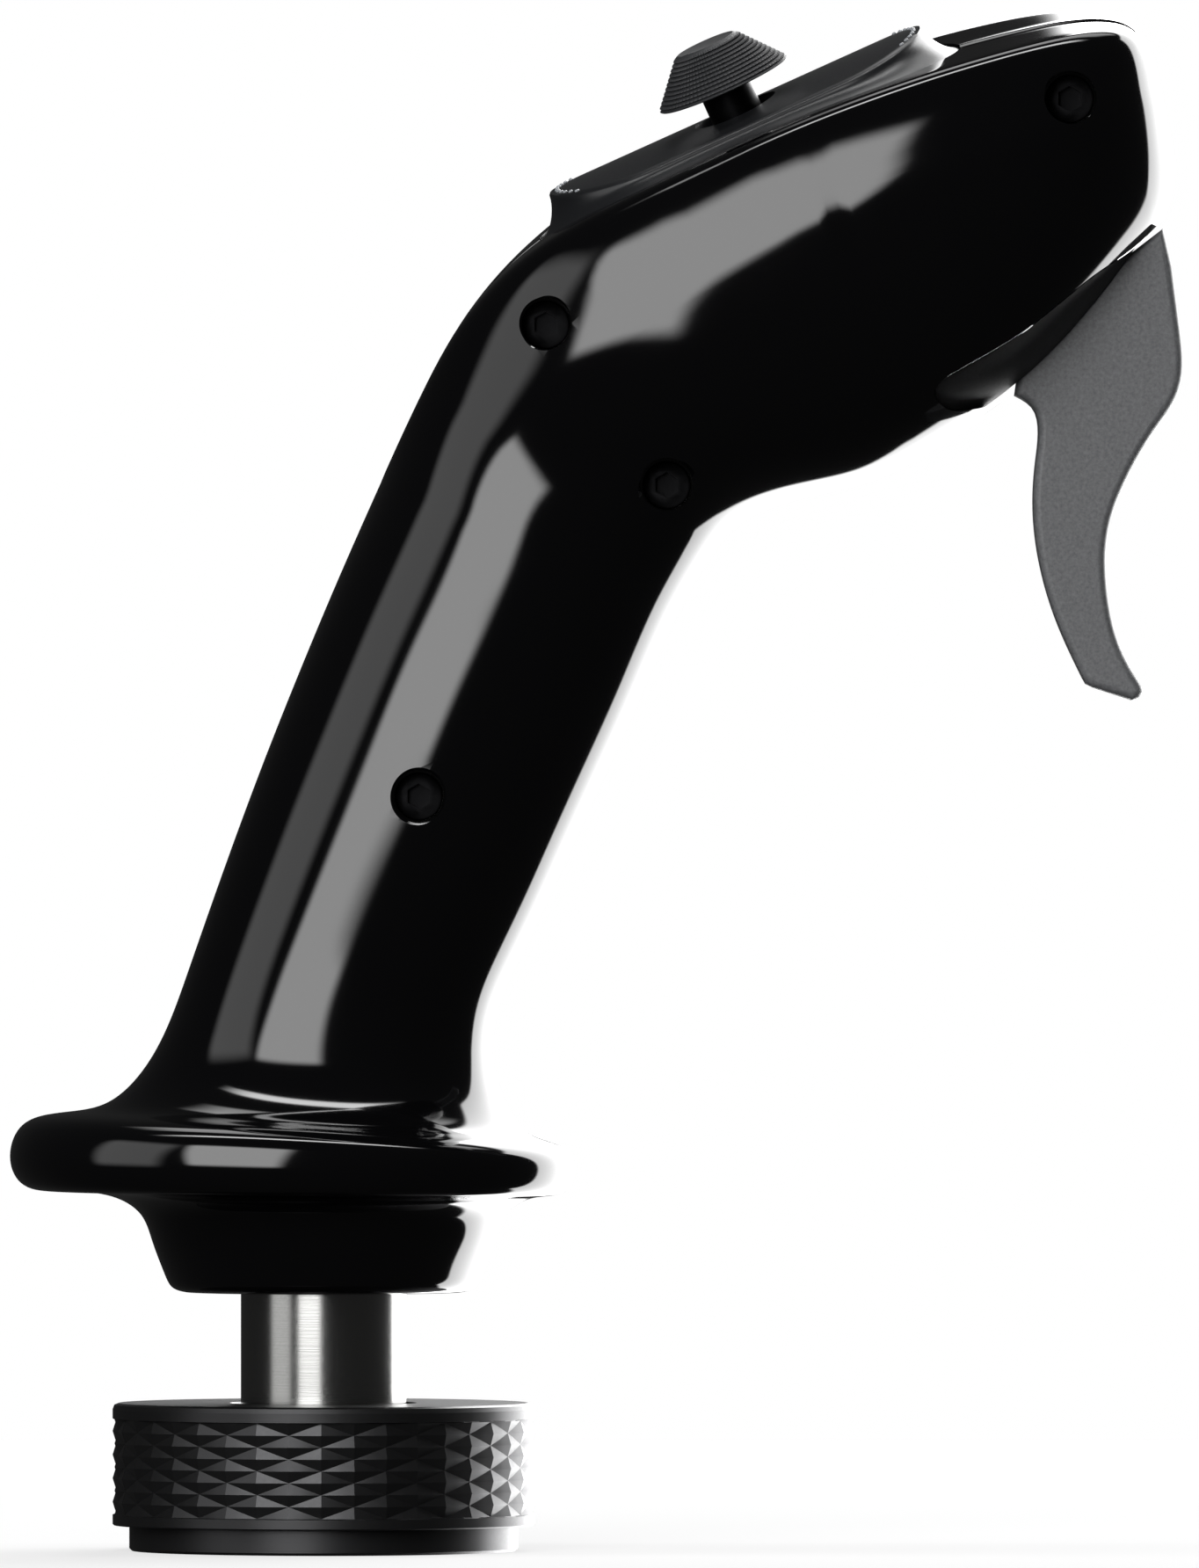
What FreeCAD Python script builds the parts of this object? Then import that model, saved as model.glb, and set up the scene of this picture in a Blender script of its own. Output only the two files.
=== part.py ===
import FreeCAD, Part
import math
import os

import Sketcher
from FreeCAD import Placement, Rotation, Vector

# Flight joystick grip: two glossy shells with a thumb stick on the canted head, a long hooked
# trigger, and a knurled coupling collar that screws the steel shaft to a joystick base.
#
# Frame: millimetres, +X forward (the way the trigger points), +Z up, origin on the shaft's axis in
# the plane of the collar's lower face. The shells part on the plane Y = 0. The right shell is at -Y.

os.makedirs("parts", exist_ok=True)
doc = FreeCAD.newDocument("FlightGrip")

# ---------------------------------------------------------------- driving dimensions

sheet = doc.addObject("Spreadsheet::Sheet", "Sizes")
DIMENSIONS = [
    ("collar_diameter", 48.0, "coupling collar, over the knurl"),
    ("spigot_diameter", 44.2, "collar's plain lower step"),
    ("collar_height", 16.8, "whole collar"),
    ("spigot_height", 2.9, "plain lower step"),
    ("collar_chamfer", 0.7, "collar's top edge"),
    ("thread_minor", 33.84, "M36x2 nut thread, minor diameter"),
    ("thread_depth", 5.5, "threaded length at the collar's mouth"),
    ("relief_diameter", 36.6, "turned relief above the thread"),
    ("shoulder_level", 10.6, "collar's inner shoulder"),
    ("shaft_diameter", 18.8, "steel shaft"),
    ("shaft_bore", 14.0, "hole for the lead"),
    ("shaft_top", 52.0, "upper end of the shaft"),
    ("foot_diameter", 30.6, "foot ring on the shaft, clamped by the collar"),
    ("foot_level", 5.6, "foot's lower face"),
    ("foot_thickness", 4.0, "foot"),
    ("washer_diameter", 30.4, "slip washer on the foot"),
    ("washer_thickness", 0.8, "slip washer on the foot"),
    ("collar_hole", 20.6, "hole in the collar's top, round the shaft"),
    ("slide_gap", 0.2, "washer's clearance on the shaft"),
    ("connector_depth", 4.0, "connector's face above the foot's lower face"),
    ("pin_recess", 0.6, "connector pins' tips above the foot's lower face"),
    ("key_diameter", 2.0, "key dowel in the shaft's mouth"),
    ("fit_gap", 0.04, "radial gap of fixed round fits"),
    ("run_gap", 0.05, "radial gap of turning and sliding fits"),
    ("floor_level", 32.6, "inside of the shells' floor"),
    ("well_diameter", 27.6, "round well over the floor"),
    ("block_diameter", 27.2, "block that holds the shaft"),
    ("block_height", 15.3, "block"),
    ("wall", 2.4, "shell wall"),
    ("boss_diameter", 9.6, "screw boss"),
    ("counterbore", 6.0, "for an M3 socket head"),
    ("head_diameter", 5.5, "M3 socket head"),
    ("head_height", 3.0, "M3 socket head"),
    ("screw_diameter", 3.0, "M3"),
    ("screw_length", 14.0, "M3 shell screw under its head"),
    ("head_seat", 7.5, "seat of the head, from the parting plane"),
    ("insert_diameter", 4.2, "brass insert"),
    ("insert_length", 5.0, "brass insert"),
    ("pad_length", 46.4, "top face of the thumb pad"),
    ("pad_width", 22.6, "top face of the thumb pad"),
    ("pad_height", 5.0, "face above the ledge"),
    ("pad_foot", 3.0, "how far the pad's foot stands out"),
    ("stick_hole", 10.0, "hole for the stick in the pad"),
    ("pivot_depth", 6.0, "stick's pivot below the pad's face"),
    ("cap_base", 15.8, "stick cap, lower edge"),
    ("cap_top", 7.4, "stick cap, flat top"),
    ("cap_height", 5.2, "stick cap"),
    ("cap_lift", 3.1, "cap's lower edge above the pad's face"),
    ("stem_diameter", 6.0, "stem under the cap"),
    ("rod_diameter", 3.0, "stick rod"),
    ("ball_diameter", 5.2, "rod's ball end, on the pivot"),
    ("case_side", 19.0, "stick module's case"),
    ("trigger_width", 10.0, "trigger, side to side"),
    ("trigger_gap", 0.3, "trigger's clearance in its slot"),
    ("pin_diameter", 3.0, "trigger's pivot pin"),
    ("pin_length", 21.0, "trigger's pivot pin"),
    ("lead_diameter", 2.4, "inner leads"),
    ("trunk_diameter", 3.6, "lead in the shaft"),
    ("board_thickness", 1.2, "circuit boards"),
]
for row, (alias, value, note) in enumerate(DIMENSIONS, start=1):
    sheet.set("A%d" % row, note)
    sheet.set("B%d" % row, str(value))
    sheet.setAlias("B%d" % row, alias)
doc.recompute()


def size(alias):
    """A driving dimension's value, read from the sheet."""
    return float(sheet.get(alias))


# ---------------------------------------------------------------- places

SCREWS = [(25.3, 139.3), (39.0, 121.1), (10.9, 85.8), (84.7, 164.9)]  # X, Z of each shell screw
TRIGGER_PIVOT = Vector(86.5, 0, 147.6)
PAD_CENTRE = Vector(46.8, 0, 163.9)    # where the stick's axis crosses the pad's face
PAD_RISE = 24.3                        # pad's long axis above the horizontal, degrees
PAD_CANT = 8.0                         # head's top turned towards -Y, degrees
HANDLE_LEAN = 21.7                     # handle's axis from the vertical, degrees
BOARD_CENTRE = Vector(19.5, 2.0, 105.0)

pad_turn = Rotation(Vector(0, 1, 0), -PAD_RISE) * Rotation(Vector(1, 0, 0), PAD_CANT)
pad_place = Placement(PAD_CENTRE, pad_turn)
pivot_place = pad_place * Placement(Vector(0, 0, -size("pivot_depth")), Rotation())
board_place = Placement(BOARD_CENTRE, Rotation(Vector(0, 1, 0), HANDLE_LEAN))

parts = []  # every finished sub-part, in the order made


def finished(obj, label, place=None):
    """Names a sub-part, puts it in place and lists it for export."""
    obj.Label = label
    if place is not None:
        obj.Placement = place
    parts.append(obj)
    return obj


# ---------------------------------------------------------------- helpers


def feature(name, shape):
    """A Part::Feature that holds a shape made with Part's own functions."""
    obj = doc.addObject("Part::Feature", name)
    obj.Shape = shape
    return obj


def cylinder(name, radius, height, base=(0, 0, 0), axis=(0, 0, 1)):
    """A Part::Cylinder with its sizes bound to the sheet's expressions."""
    obj = doc.addObject("Part::Cylinder", name)
    obj.setExpression("Radius", radius)
    obj.setExpression("Height", height)
    obj.Placement = Placement(Vector(*base), Rotation(Vector(0, 0, 1), Vector(*axis)))
    return obj


def block(name, sizes, middle):
    """A Part::Box about its middle, with its three sizes bound to expressions."""
    obj = doc.addObject("Part::Box", name)
    for side, expression in zip(("Length", "Width", "Height"), sizes):
        obj.setExpression(side, expression)
    doc.recompute()
    half = Vector(obj.Length.Value, obj.Width.Value, obj.Height.Value) * 0.5
    obj.Placement = Placement(Vector(*middle) - half, Rotation())
    return obj


def cut(name, base, tool):
    obj = doc.addObject("Part::Cut", name)
    obj.Base = base
    obj.Tool = tool
    return obj


def fuse(name, shapes):
    obj = doc.addObject("Part::MultiFuse", name)
    obj.Shapes = shapes
    return obj


def polygon_sketch(body, role, corners):
    """A closed polygon on one of the body's origin planes. A corner is a pair of expressions."""
    plane = next(item for item in body.Origin.OriginFeatures if item.Role == role)
    sketch = body.newObject("Sketcher::SketchObject", body.Name + "Profile")
    sketch.AttachmentSupport = (plane, [""])
    sketch.MapMode = "FlatFace"
    values = [[float(sheet.evalExpression(text)) for text in corner] for corner in corners]
    count = len(corners)
    for i in range(count):
        start, end = values[i], values[(i + 1) % count]
        sketch.addGeometry(Part.LineSegment(Vector(*start, 0), Vector(*end, 0)), False)
    for i in range(count):
        sketch.addConstraint(Sketcher.Constraint("Coincident", i, 2, (i + 1) % count, 1))
    for i, corner in enumerate(corners):
        places = (("DistanceX", -2, values[i][0], corner[0]), ("DistanceY", -1, values[i][1], corner[1]))
        for kind, axis, value, text in places:
            if abs(value) < 1e-9:
                sketch.addConstraint(Sketcher.Constraint("PointOnObject", i, 1, axis))
                continue
            index = sketch.addConstraint(Sketcher.Constraint(kind, -1, 1, i, 1, value))
            sketch.setExpression("Constraints[%d]" % index, text)
    return sketch


def turned(name, corners):
    """A body turned about Z from a polygon of (radius, level) expressions."""
    body = doc.addObject("PartDesign::Body", name)
    sketch = polygon_sketch(body, "XZ_Plane", corners)
    turn = body.newObject("PartDesign::Revolution", name + "Turn")
    turn.Profile = sketch
    turn.ReferenceAxis = (sketch, ["V_Axis"])
    turn.Angle = 360
    return body


def rectangle(half_x, half_y):
    """Corners of a rectangle about the origin, as expressions."""
    return [(sx + half_x, sy + half_y) for sx, sy in (("-", "-"), ("", "-"), ("", ""), ("-", ""))]


def group(name, shape, places):
    """Copies of one shape as a compound of separate solids."""
    copies = []
    for place in places:
        copy = shape.copy()
        copy.Placement = place * copy.Placement
        copies.append(copy)
    return feature(name, Part.makeCompound(copies))


def stadium(length, width, low, high):
    """A solid with a round-ended outline along X, between two levels."""
    radius = width / 2
    reach = length / 2 - radius
    edges = [
        Part.LineSegment(Vector(-reach, -radius, low), Vector(reach, -radius, low)),
        Part.Arc(Vector(reach, -radius, low), Vector(reach + radius, 0, low), Vector(reach, radius, low)),
        Part.LineSegment(Vector(reach, radius, low), Vector(-reach, radius, low)),
        Part.Arc(Vector(-reach, radius, low), Vector(-reach - radius, 0, low), Vector(-reach, -radius, low)),
    ]
    wire = Part.Wire([edge.toShape() for edge in edges])
    return Part.Face(wire).extrude(Vector(0, 0, high - low))


def profile_prism(curves, half_depth):
    """A closed outline in the XZ plane, extruded both ways along Y."""
    face = Part.Face(Part.Wire([curve.toShape() for curve in curves]))
    face.translate(Vector(0, -half_depth, 0))
    return face.extrude(Vector(0, 2 * half_depth, 0))


def curve_through(points):
    """A smooth curve through X, Z points in the plane Y = 0."""
    curve = Part.BSplineCurve()
    curve.interpolate([Vector(x, 0, z) for x, z in points])
    return curve


def line(start, end):
    return Part.LineSegment(Vector(start[0], 0, start[1]), Vector(end[0], 0, end[1]))


def coil(radius, wire_radius, pitch, height):
    """A coil spring about Z, standing on Z = 0."""
    helix = Part.makeHelix(pitch, height - 2 * wire_radius, radius)
    ring = Part.Wire([Part.makeCircle(wire_radius, Vector(radius, 0, 0), Vector(0, 1, 0))])
    spring = Part.Wire(helix.Edges).makePipeShell([ring], True, True)
    spring.translate(Vector(0, 0, wire_radius))
    return spring


def tube_along(points, radius):
    """A tube on straight runs joined by tangent arcs, each as large as its two runs allow."""
    trim_share = 0.45  # of the shorter run, used up by each arc
    edges, start, radii = [], points[0], []
    for before, corner, after in zip(points, points[1:], points[2:]):
        back, ahead = before - corner, after - corner
        trim = trim_share * min(back.Length, ahead.Length)
        back.normalize()
        ahead.normalize()
        half_angle = back.getAngle(ahead) / 2
        radii.append(trim * math.tan(half_angle))
        first, last = corner + back * trim, corner + ahead * trim
        inwards = (back + ahead).normalize()
        middle = corner + inwards * (trim / math.cos(half_angle) - radii[-1])
        edges.append(Part.LineSegment(start, first).toShape())
        edges.append(Part.Arc(first, middle, last).toShape())
        start = last
    edges.append(Part.LineSegment(start, points[-1]).toShape())
    path = Part.Wire(edges)
    ring = Part.Wire([Part.makeCircle(radius, points[0], points[1] - points[0])])
    tube = path.makePipeShell([ring], True, True)
    share = tube.Volume / (math.pi * radius**2 * path.Length)
    print("lead", round(path.Length, 1), "mm, bends", [round(r, 1) for r in radii], "fill", round(share, 3))
    return tube


# ---------------------------------------------------------------- outer form of the two shells

# Each section of the form lies in a plane through a back point and a front point, both on the
# parting plane. Columns: back X, back Z, front X, front Z, half width, squareness, and how much
# of the oval's top is cut off flat (0 on the handle, 0.21 on the head).
SECTIONS = [
    (-15.7, 29.4, 15.7, 29.4, 15.7, 2.0, 0.0),   # skirt's foot, inside its rounded edge
    (-17.2, 29.9, 17.2, 29.9, 17.2, 2.0, 0.0),
    (-18.1, 31.4, 18.1, 31.4, 18.1, 2.0, 0.0),
    (-19.6, 35.4, 19.6, 35.4, 19.6, 2.0, 0.0),
    (-20.9, 38.3, 20.8, 38.3, 20.5, 2.0, 0.0),   # skirt meets the hand rest
    (-24.2, 40.3, 23.2, 39.9, 22.8, 2.0, 0.0),
    (-30.0, 40.9, 26.0, 40.4, 25.6, 2.1, 0.0),
    (-34.2, 41.6, 28.0, 41.3, 27.4, 2.1, 0.0),
    (-35.7, 44.4, 28.6, 43.4, 28.0, 2.1, 0.0),   # rim of the hand rest
    (-34.6, 48.1, 27.8, 45.5, 27.2, 2.1, 0.0),
    (-31.5, 49.6, 25.4, 46.6, 25.0, 2.1, 0.0),
    (-25.5, 50.6, 22.4, 48.2, 21.2, 2.1, 0.0),
    (-21.6, 53.4, 20.4, 51.4, 17.9, 2.1, 0.0),
    (-18.2, 58.7, 19.2, 56.0, 15.6, 2.15, 0.0),  # handle's foot
    (-15.6, 65.4, 19.5, 60.6, 14.9, 2.15, 0.0),
    (-12.6, 74.0, 21.6, 66.0, 15.0, 2.15, 0.0),
    (-8.1, 86.4, 25.0, 73.0, 15.5, 2.15, 0.0),
    (-3.4, 98.4, 30.0, 84.0, 16.0, 2.15, 0.0),
    (1.6, 110.4, 35.7, 96.5, 16.3, 2.15, 0.0),
    (6.5, 121.5, 40.2, 106.6, 16.7, 2.15, 0.0),
    (11.2, 131.6, 44.0, 113.2, 17.0, 2.2, 0.03),  # handle bends into the head
    (17.3, 142.0, 47.0, 116.6, 19.4, 2.2, 0.09),
    (26.0, 150.2, 51.4, 118.8, 21.4, 2.25, 0.15),
    (36.9, 156.7, 57.0, 120.3, 22.0, 2.3, 0.19),
    (47.6, 162.1, 63.0, 121.9, 22.0, 2.3, 0.21),
    (58.8, 166.7, 69.2, 125.1, 21.8, 2.3, 0.21),  # widest section of the head
    (69.5, 170.3, 76.0, 129.4, 0, 2.3, 0.21),
    (78.5, 172.7, 82.4, 134.7, 0, 2.3, 0.21),
    (85.5, 174.0, 87.8, 140.6, 0, 2.3, 0.20),
    (89.6, 174.0, 91.6, 145.3, 0, 2.3, 0.18),
    (92.0, 173.1, 94.2, 148.9, 0, 2.3, 0.16),
    (93.6, 171.3, 95.7, 151.7, 0, 2.2, 0.14),
    (94.8, 168.2, 96.6, 155.2, 0, 2.2, 0.12),
    (95.3, 165.5, 96.8, 157.8, 0, 2.2, 0.10),     # nose, where the two sides meet
]
HANDLE_FOOT = 13          # first section of the handle
WIDEST = 25               # widest section: the half width ahead of it follows the nose's curve
NOSE_START, NOSE_HALF_WIDTH, NOSE_SQUARENESS = 60.0, 21.8, 2.3
CANT_FROM, CANT_TO = 20, 24   # sections over which the top turns towards -Y
EDGE_SOFTNESS = 0.75          # rounding of the edge between the flat top and the sides
CANT_BLEND = 0.6              # share of the half height over which the cant fades out
NOSE_CROWDING = 0.35          # how much closer the rows of the surface lie towards the nose


def natural_spline(knots, values):
    """A natural cubic spline through values at knots, as a function."""
    count = len(knots)
    gaps = [knots[i + 1] - knots[i] for i in range(count - 1)]
    diagonal, right, bend = [1.0] * count, [0.0] * count, [0.0] * count
    upper = [0.0] * count
    for i in range(1, count - 1):
        rise = (values[i + 1] - values[i]) / gaps[i] - (values[i] - values[i - 1]) / gaps[i - 1]
        diagonal[i] = 2 * (gaps[i - 1] + gaps[i]) - gaps[i - 1] * upper[i - 1]
        upper[i] = gaps[i] / diagonal[i]
        right[i] = (6 * rise - gaps[i - 1] * right[i - 1]) / diagonal[i]
    for i in range(count - 2, 0, -1):
        bend[i] = right[i] - upper[i] * bend[i + 1]

    def at(knot):
        i = max(k for k in range(count - 1) if k == 0 or knots[k] <= knot)
        a, b, gap = knots[i + 1] - knot, knot - knots[i], gaps[i]
        cubic = (bend[i] * a**3 + bend[i + 1] * b**3) / (6 * gap)
        linear = (values[i] / gap - bend[i] * gap / 6) * a
        return cubic + linear + (values[i + 1] / gap - bend[i + 1] * gap / 6) * b

    return at


def section_knots():
    """Path length along the sections, so that close sections get close knots."""
    knots = [0.0]
    for one, two in zip(SECTIONS, SECTIONS[1:]):
        knots.append(knots[-1] + math.sqrt(sum((p - q) ** 2 for p, q in zip(one[:4], two[:4]))))
    return knots


KNOTS = section_knots()
COLUMNS = [natural_spline(KNOTS, [section[c] for section in SECTIONS]) for c in range(4)]
WIDTHS = natural_spline(KNOTS[:WIDEST + 1], [section[4] for section in SECTIONS[:WIDEST + 1]])
NOSE_TIP = (SECTIONS[-1][0] + SECTIONS[-1][2]) / 2


def between(knot, column):
    """A column's value by straight interpolation between sections."""
    i = max(k for k in range(len(KNOTS) - 1) if k == 0 or KNOTS[k] <= knot)
    share = (knot - KNOTS[i]) / (KNOTS[i + 1] - KNOTS[i])
    return SECTIONS[i][column] * (1 - share) + SECTIONS[i + 1][column] * share


def smooth_step(share):
    share = max(0.0, min(1.0, share))
    return share * share * (3 - 2 * share)


def half_width(knot, middle_x):
    """Half width of the form, from the sections or, on the nose, from its rounded plan."""
    if middle_x <= NOSE_START:
        return WIDTHS(min(knot, KNOTS[WIDEST]))
    share = min(1.0, (middle_x - NOSE_START) / (NOSE_TIP - NOSE_START))
    return NOSE_HALF_WIDTH * (1 - share**NOSE_SQUARENESS) ** (1 / NOSE_SQUARENESS)


def form_point(knot, angle, side, inset):
    """A point of the outer form, or of the same form inset. Angle 0 is the back, pi the front."""
    back_x, back_z, front_x, front_z = (column(knot) for column in COLUMNS)
    squareness, flat = between(knot, 5), between(knot, 6)
    chord = Vector(back_x - front_x, 0, back_z - front_z)
    length = chord.Length - 2 * inset
    chord.normalize()
    front = Vector(front_x, 0, front_z) + chord * inset
    width = max(0.0, half_width(knot, (back_x + front_x) / 2) - inset)
    oval = length / 2 * (1 + flat)
    top = length - oval
    cos, sin = math.cos(angle), math.sin(angle)
    reach = (abs(cos) ** squareness + abs(sin) ** squareness) ** (-1 / squareness)
    along, across = oval * reach * cos, width * reach * sin * side
    softness = EDGE_SOFTNESS * min(1.0, flat / 0.1)
    if softness > 1e-6:
        excess = (top - along) / softness
        along = top - softness * (math.log1p(math.exp(-abs(excess))) + max(excess, 0.0))
    cant = smooth_step((knot - KNOTS[CANT_FROM]) / (KNOTS[CANT_TO] - KNOTS[CANT_FROM]))
    share = smooth_step(along / (CANT_BLEND * top)) * cant
    along += across * math.tan(math.radians(PAD_CANT)) * share
    return front + chord * (oval + along) + Vector(0, across, 0)


def form_half(side, inset, first, last, rows, columns=34):
    """One half of the form as a solid, between two knots, closed on the parting plane."""
    grid = []
    for i in range(rows + 1):
        share = i / rows
        if last >= KNOTS[-1]:
            share += NOSE_CROWDING * math.sin(math.pi * share) / math.pi
        knot = first + (last - first) * share
        row = [form_point(knot, math.pi * j / columns, side, inset) for j in range(columns + 1)]
        row[0].y = row[-1].y = 0.0
        grid.append(row)
    surface = Part.BSplineSurface()
    surface.interpolate(grid)
    skin = surface.toShape()
    ends = [(grid[0][0], grid[0][-1]), (grid[-1][0], grid[-1][-1])]
    flat_edges, faces = [], [skin]
    for edge in skin.Edges:
        box = edge.BoundBox
        if max(abs(box.YMin), abs(box.YMax)) < 1e-6:
            flat_edges.append(edge)
        else:
            nearest = min(ends, key=lambda pair: edge.distToShape(Part.Vertex(pair[0]))[0])
            chord = Part.LineSegment(*nearest).toShape()
            flat_edges.append(chord)
            faces.append(Part.Face(Part.Wire(Part.__sortEdges__([edge, chord]))))
    faces.append(Part.Face(Part.Wire(Part.__sortEdges__(flat_edges))))
    shell = Part.makeShell(faces)
    shell.sewShape()
    solid = Part.makeSolid(shell)
    if solid.Volume < 0:
        solid.reverse()
    return solid


def whole_form(inset, first=0.0, last=None, rows=90):
    """Both halves of the form joined."""
    end = KNOTS[-1] if last is None else last
    right = form_half(-1, inset, first, end, rows)
    return right.fuse(form_half(1, inset, first, end, rows))


# ---------------------------------------------------------------- shells

CAVITY_END = 29                                  # last section of the hollow, short of the nose
SWITCH_FACE = -5.15                              # side of the trigger switch that its posts meet
SWITCH_POSTS = [(75.0, 155.6), (81.5, 155.6)]    # X, Z of the trigger switch's two screws
BOARD_HOLES = [(-5.5, 5.0), (5.5, -4.0)]         # the controller board's screws, across and along it
BOARD_POSTS = [tuple(board_place.multVec(Vector(x, 0, z)))[::2] for x, z in BOARD_HOLES]
EAR_RADIUS, EAR_OUTSIDE = 3.3, 8.2               # trigger cradle's two ears, which hold the pin
HUB_RADIUS = 3.6                                 # trigger's hub, round its pin

# The trigger cradle's crescent: its upper edge from the nose back, its rounded rear end, its lower
# edge, and a way round below the head.
CRESCENT = [
    (97.6, 153.4), (95.5, 151.4), (92.4, 148.4), (88.0, 145.3), (83.0, 141.3), (78.1, 137.6), (73.5, 134.9),
    (71.0, 133.5), (69.3, 131.4), (70.8, 129.7), (73.2, 129.6), (76.2, 130.3), (79.2, 132.0),
    (81.0, 128.0), (104.0, 147.0),
]
TOP_END, REAR_END, LOW_END = 7, 9, 12   # where the upper edge, the rear end and the lower edge stop


def inwards(outline, gap):
    """A closed outline's points, each moved inwards by a gap. The outline runs anticlockwise."""
    moved = []
    for i, (x, z) in enumerate(outline):
        (x0, z0), (x1, z1) = outline[i - 1], outline[(i + 1) % len(outline)]
        length = math.hypot(x1 - x0, z1 - z0)
        moved.append((x - gap * (z1 - z0) / length, z + gap * (x1 - x0) / length))
    return moved


def crescent(gap):
    """The crescent, open to the outside below, across the whole head."""
    points = inwards(CRESCENT, gap)
    rear = [Vector(x, 0, z) for x, z in points[TOP_END:REAR_END + 1]]
    curves = [curve_through(points[:TOP_END + 1]), Part.Arc(*rear)]
    curves.append(curve_through(points[REAR_END:LOW_END + 1]))
    below = points[LOW_END:] + points[:1]
    curves += [line(one, two) for one, two in zip(below, below[1:])]
    return profile_prism(curves, 30.0)


def trigger_slot():
    """Slot for the trigger through the cradle, and through the shells' lip behind it."""
    half = size("trigger_width") / 2 + size("trigger_gap")
    return Part.makeBox(25, 2 * half, 12, Vector(75.0, -half, 124.5))


def post(x, z, radius, y_from, y_to):
    """A round post or cutter along Y."""
    low, high = min(y_from, y_to), max(y_from, y_to)
    return Part.makeCylinder(radius, high - low, Vector(x, low, z), Vector(0, 1, 0))


def pin_ear(side, gap):
    """The cradle's ear on one side of the trigger, and the web it stands on, grown by a gap."""
    x, z = TRIGGER_PIVOT.x, TRIGGER_PIVOT.z
    inside = size("trigger_width") / 2 + size("trigger_gap") + 0.1 - gap
    outside = EAR_OUTSIDE + gap
    radius = EAR_RADIUS + gap
    ear = post(x, z, radius, inside * side, outside * side)
    low = min(inside * side, outside * side)
    return ear.fuse(Part.makeBox(2 * radius, outside - inside, 6.0, Vector(x - radius, low, z - 6.0)))


def pad_ledge():
    """The flat ledge the thumb pad sits on, inside the head's top."""
    gap = 0.1
    top = -size("pad_height") - gap
    thickness = 2.5
    ledge = stadium(60.0, 33.0, top - thickness, top)
    ledge.Placement = pad_place
    return ledge


def pad_opening():
    """Recess for the pad's foot and the opening for its stick module."""
    gap = 0.15
    foot = 2 * (size("pad_foot") + gap)
    recess = stadium(size("pad_length") + foot, size("pad_width") + foot, -size("pad_height") - 0.1, 12.0)
    opening = stadium(47.0, 23.0, -14.0, 0.0)
    cutter = recess.fuse(opening)
    cutter.Placement = pad_place
    return cutter


def make_shell(name, side):
    """One shell: outer form less a hollow that leaves its bosses, rib, pin seat and ledge."""
    outer = form_half(side, 0.0, 0.0, KNOTS[-1], 90)
    hollow = form_half(side, size("wall"), KNOTS[HANDLE_FOOT - 1], KNOTS[CAVITY_END], 70)
    far = 30.0 * side
    well_radius, floor = size("well_diameter") / 2, size("floor_level")
    well = Part.makeCylinder(well_radius, 57.5 - floor, Vector(0, 0, floor))
    half_space = Part.makeBox(60, 30, 60, Vector(-30, min(0.0, far), 20))
    hollow = hollow.fuse(well.common(half_space))

    pin_x, pin_z = TRIGGER_PIVOT.x, TRIGGER_PIVOT.z
    posts = BOARD_POSTS if side > 0 else SWITCH_POSTS
    post_start = BOARD_CENTRE.y + size("board_thickness") + 0.05 if side > 0 else SWITCH_FACE - 0.05
    kept = [post(x, z, size("boss_diameter") / 2, -far, far) for x, z in SCREWS]
    kept.append(post(pin_x, pin_z, 3.4, 8.4 * side, far))
    kept += [post(x, z, 2.3, post_start, far) for x, z in posts]
    kept.append(Part.makeBox(4.0, 4.2, 14.4, Vector(-2.0, 12.3 if side > 0 else -16.5, floor - 0.5)))
    kept.append(pad_ledge())
    for tool in kept:
        hollow = hollow.cut(tool)
    body = outer.cut(hollow)

    hub_room = post(pin_x, pin_z, HUB_RADIUS + 0.45, 0, side * (size("trigger_width") / 2 + 0.4))
    removed = [pad_opening(), crescent(0.0), pin_ear(side, 0.15), hub_room, trigger_slot()]
    seat = size("head_seat")
    for x, z in SCREWS:
        if side < 0:
            removed.append(post(x, z, size("counterbore") / 2, -seat, -30))
            removed.append(post(x, z, size("screw_diameter") / 2 + 0.2, 1, -seat - 1))
        else:
            removed.append(post(x, z, size("screw_diameter") / 2 + 0.15, -1, 9.0))
            removed.append(post(x, z, size("insert_diameter") / 2 + size("fit_gap"), -1,
                                  size("insert_length") + 0.2))
    removed.append(post(pin_x, pin_z, size("pin_diameter") / 2 + size("fit_gap"), 0,
                          (size("pin_length") / 2 + 0.2) * side))
    removed.append(Part.makeCylinder(size("shaft_diameter") / 2 + 0.1, 8, Vector(0, 0, 27)))
    for x, z in posts:
        start = 0.0 if side < 0 else BOARD_CENTRE.y
        removed.append(post(x, z, 1.0 + size("fit_gap"), start, start + side * 11.0))
    for tool in removed:
        body = body.cut(tool)
    solids = sorted(body.Solids, key=lambda solid: solid.Volume)
    print(name, "solids", [round(solid.Volume) for solid in solids], "valid", body.isValid())
    return finished(feature(name, solids[-1]), name)


def make_shells():
    make_shell("shell_right", -1)
    make_shell("shell_left", 1)


# ---------------------------------------------------------------- thumb pad and stick


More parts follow.
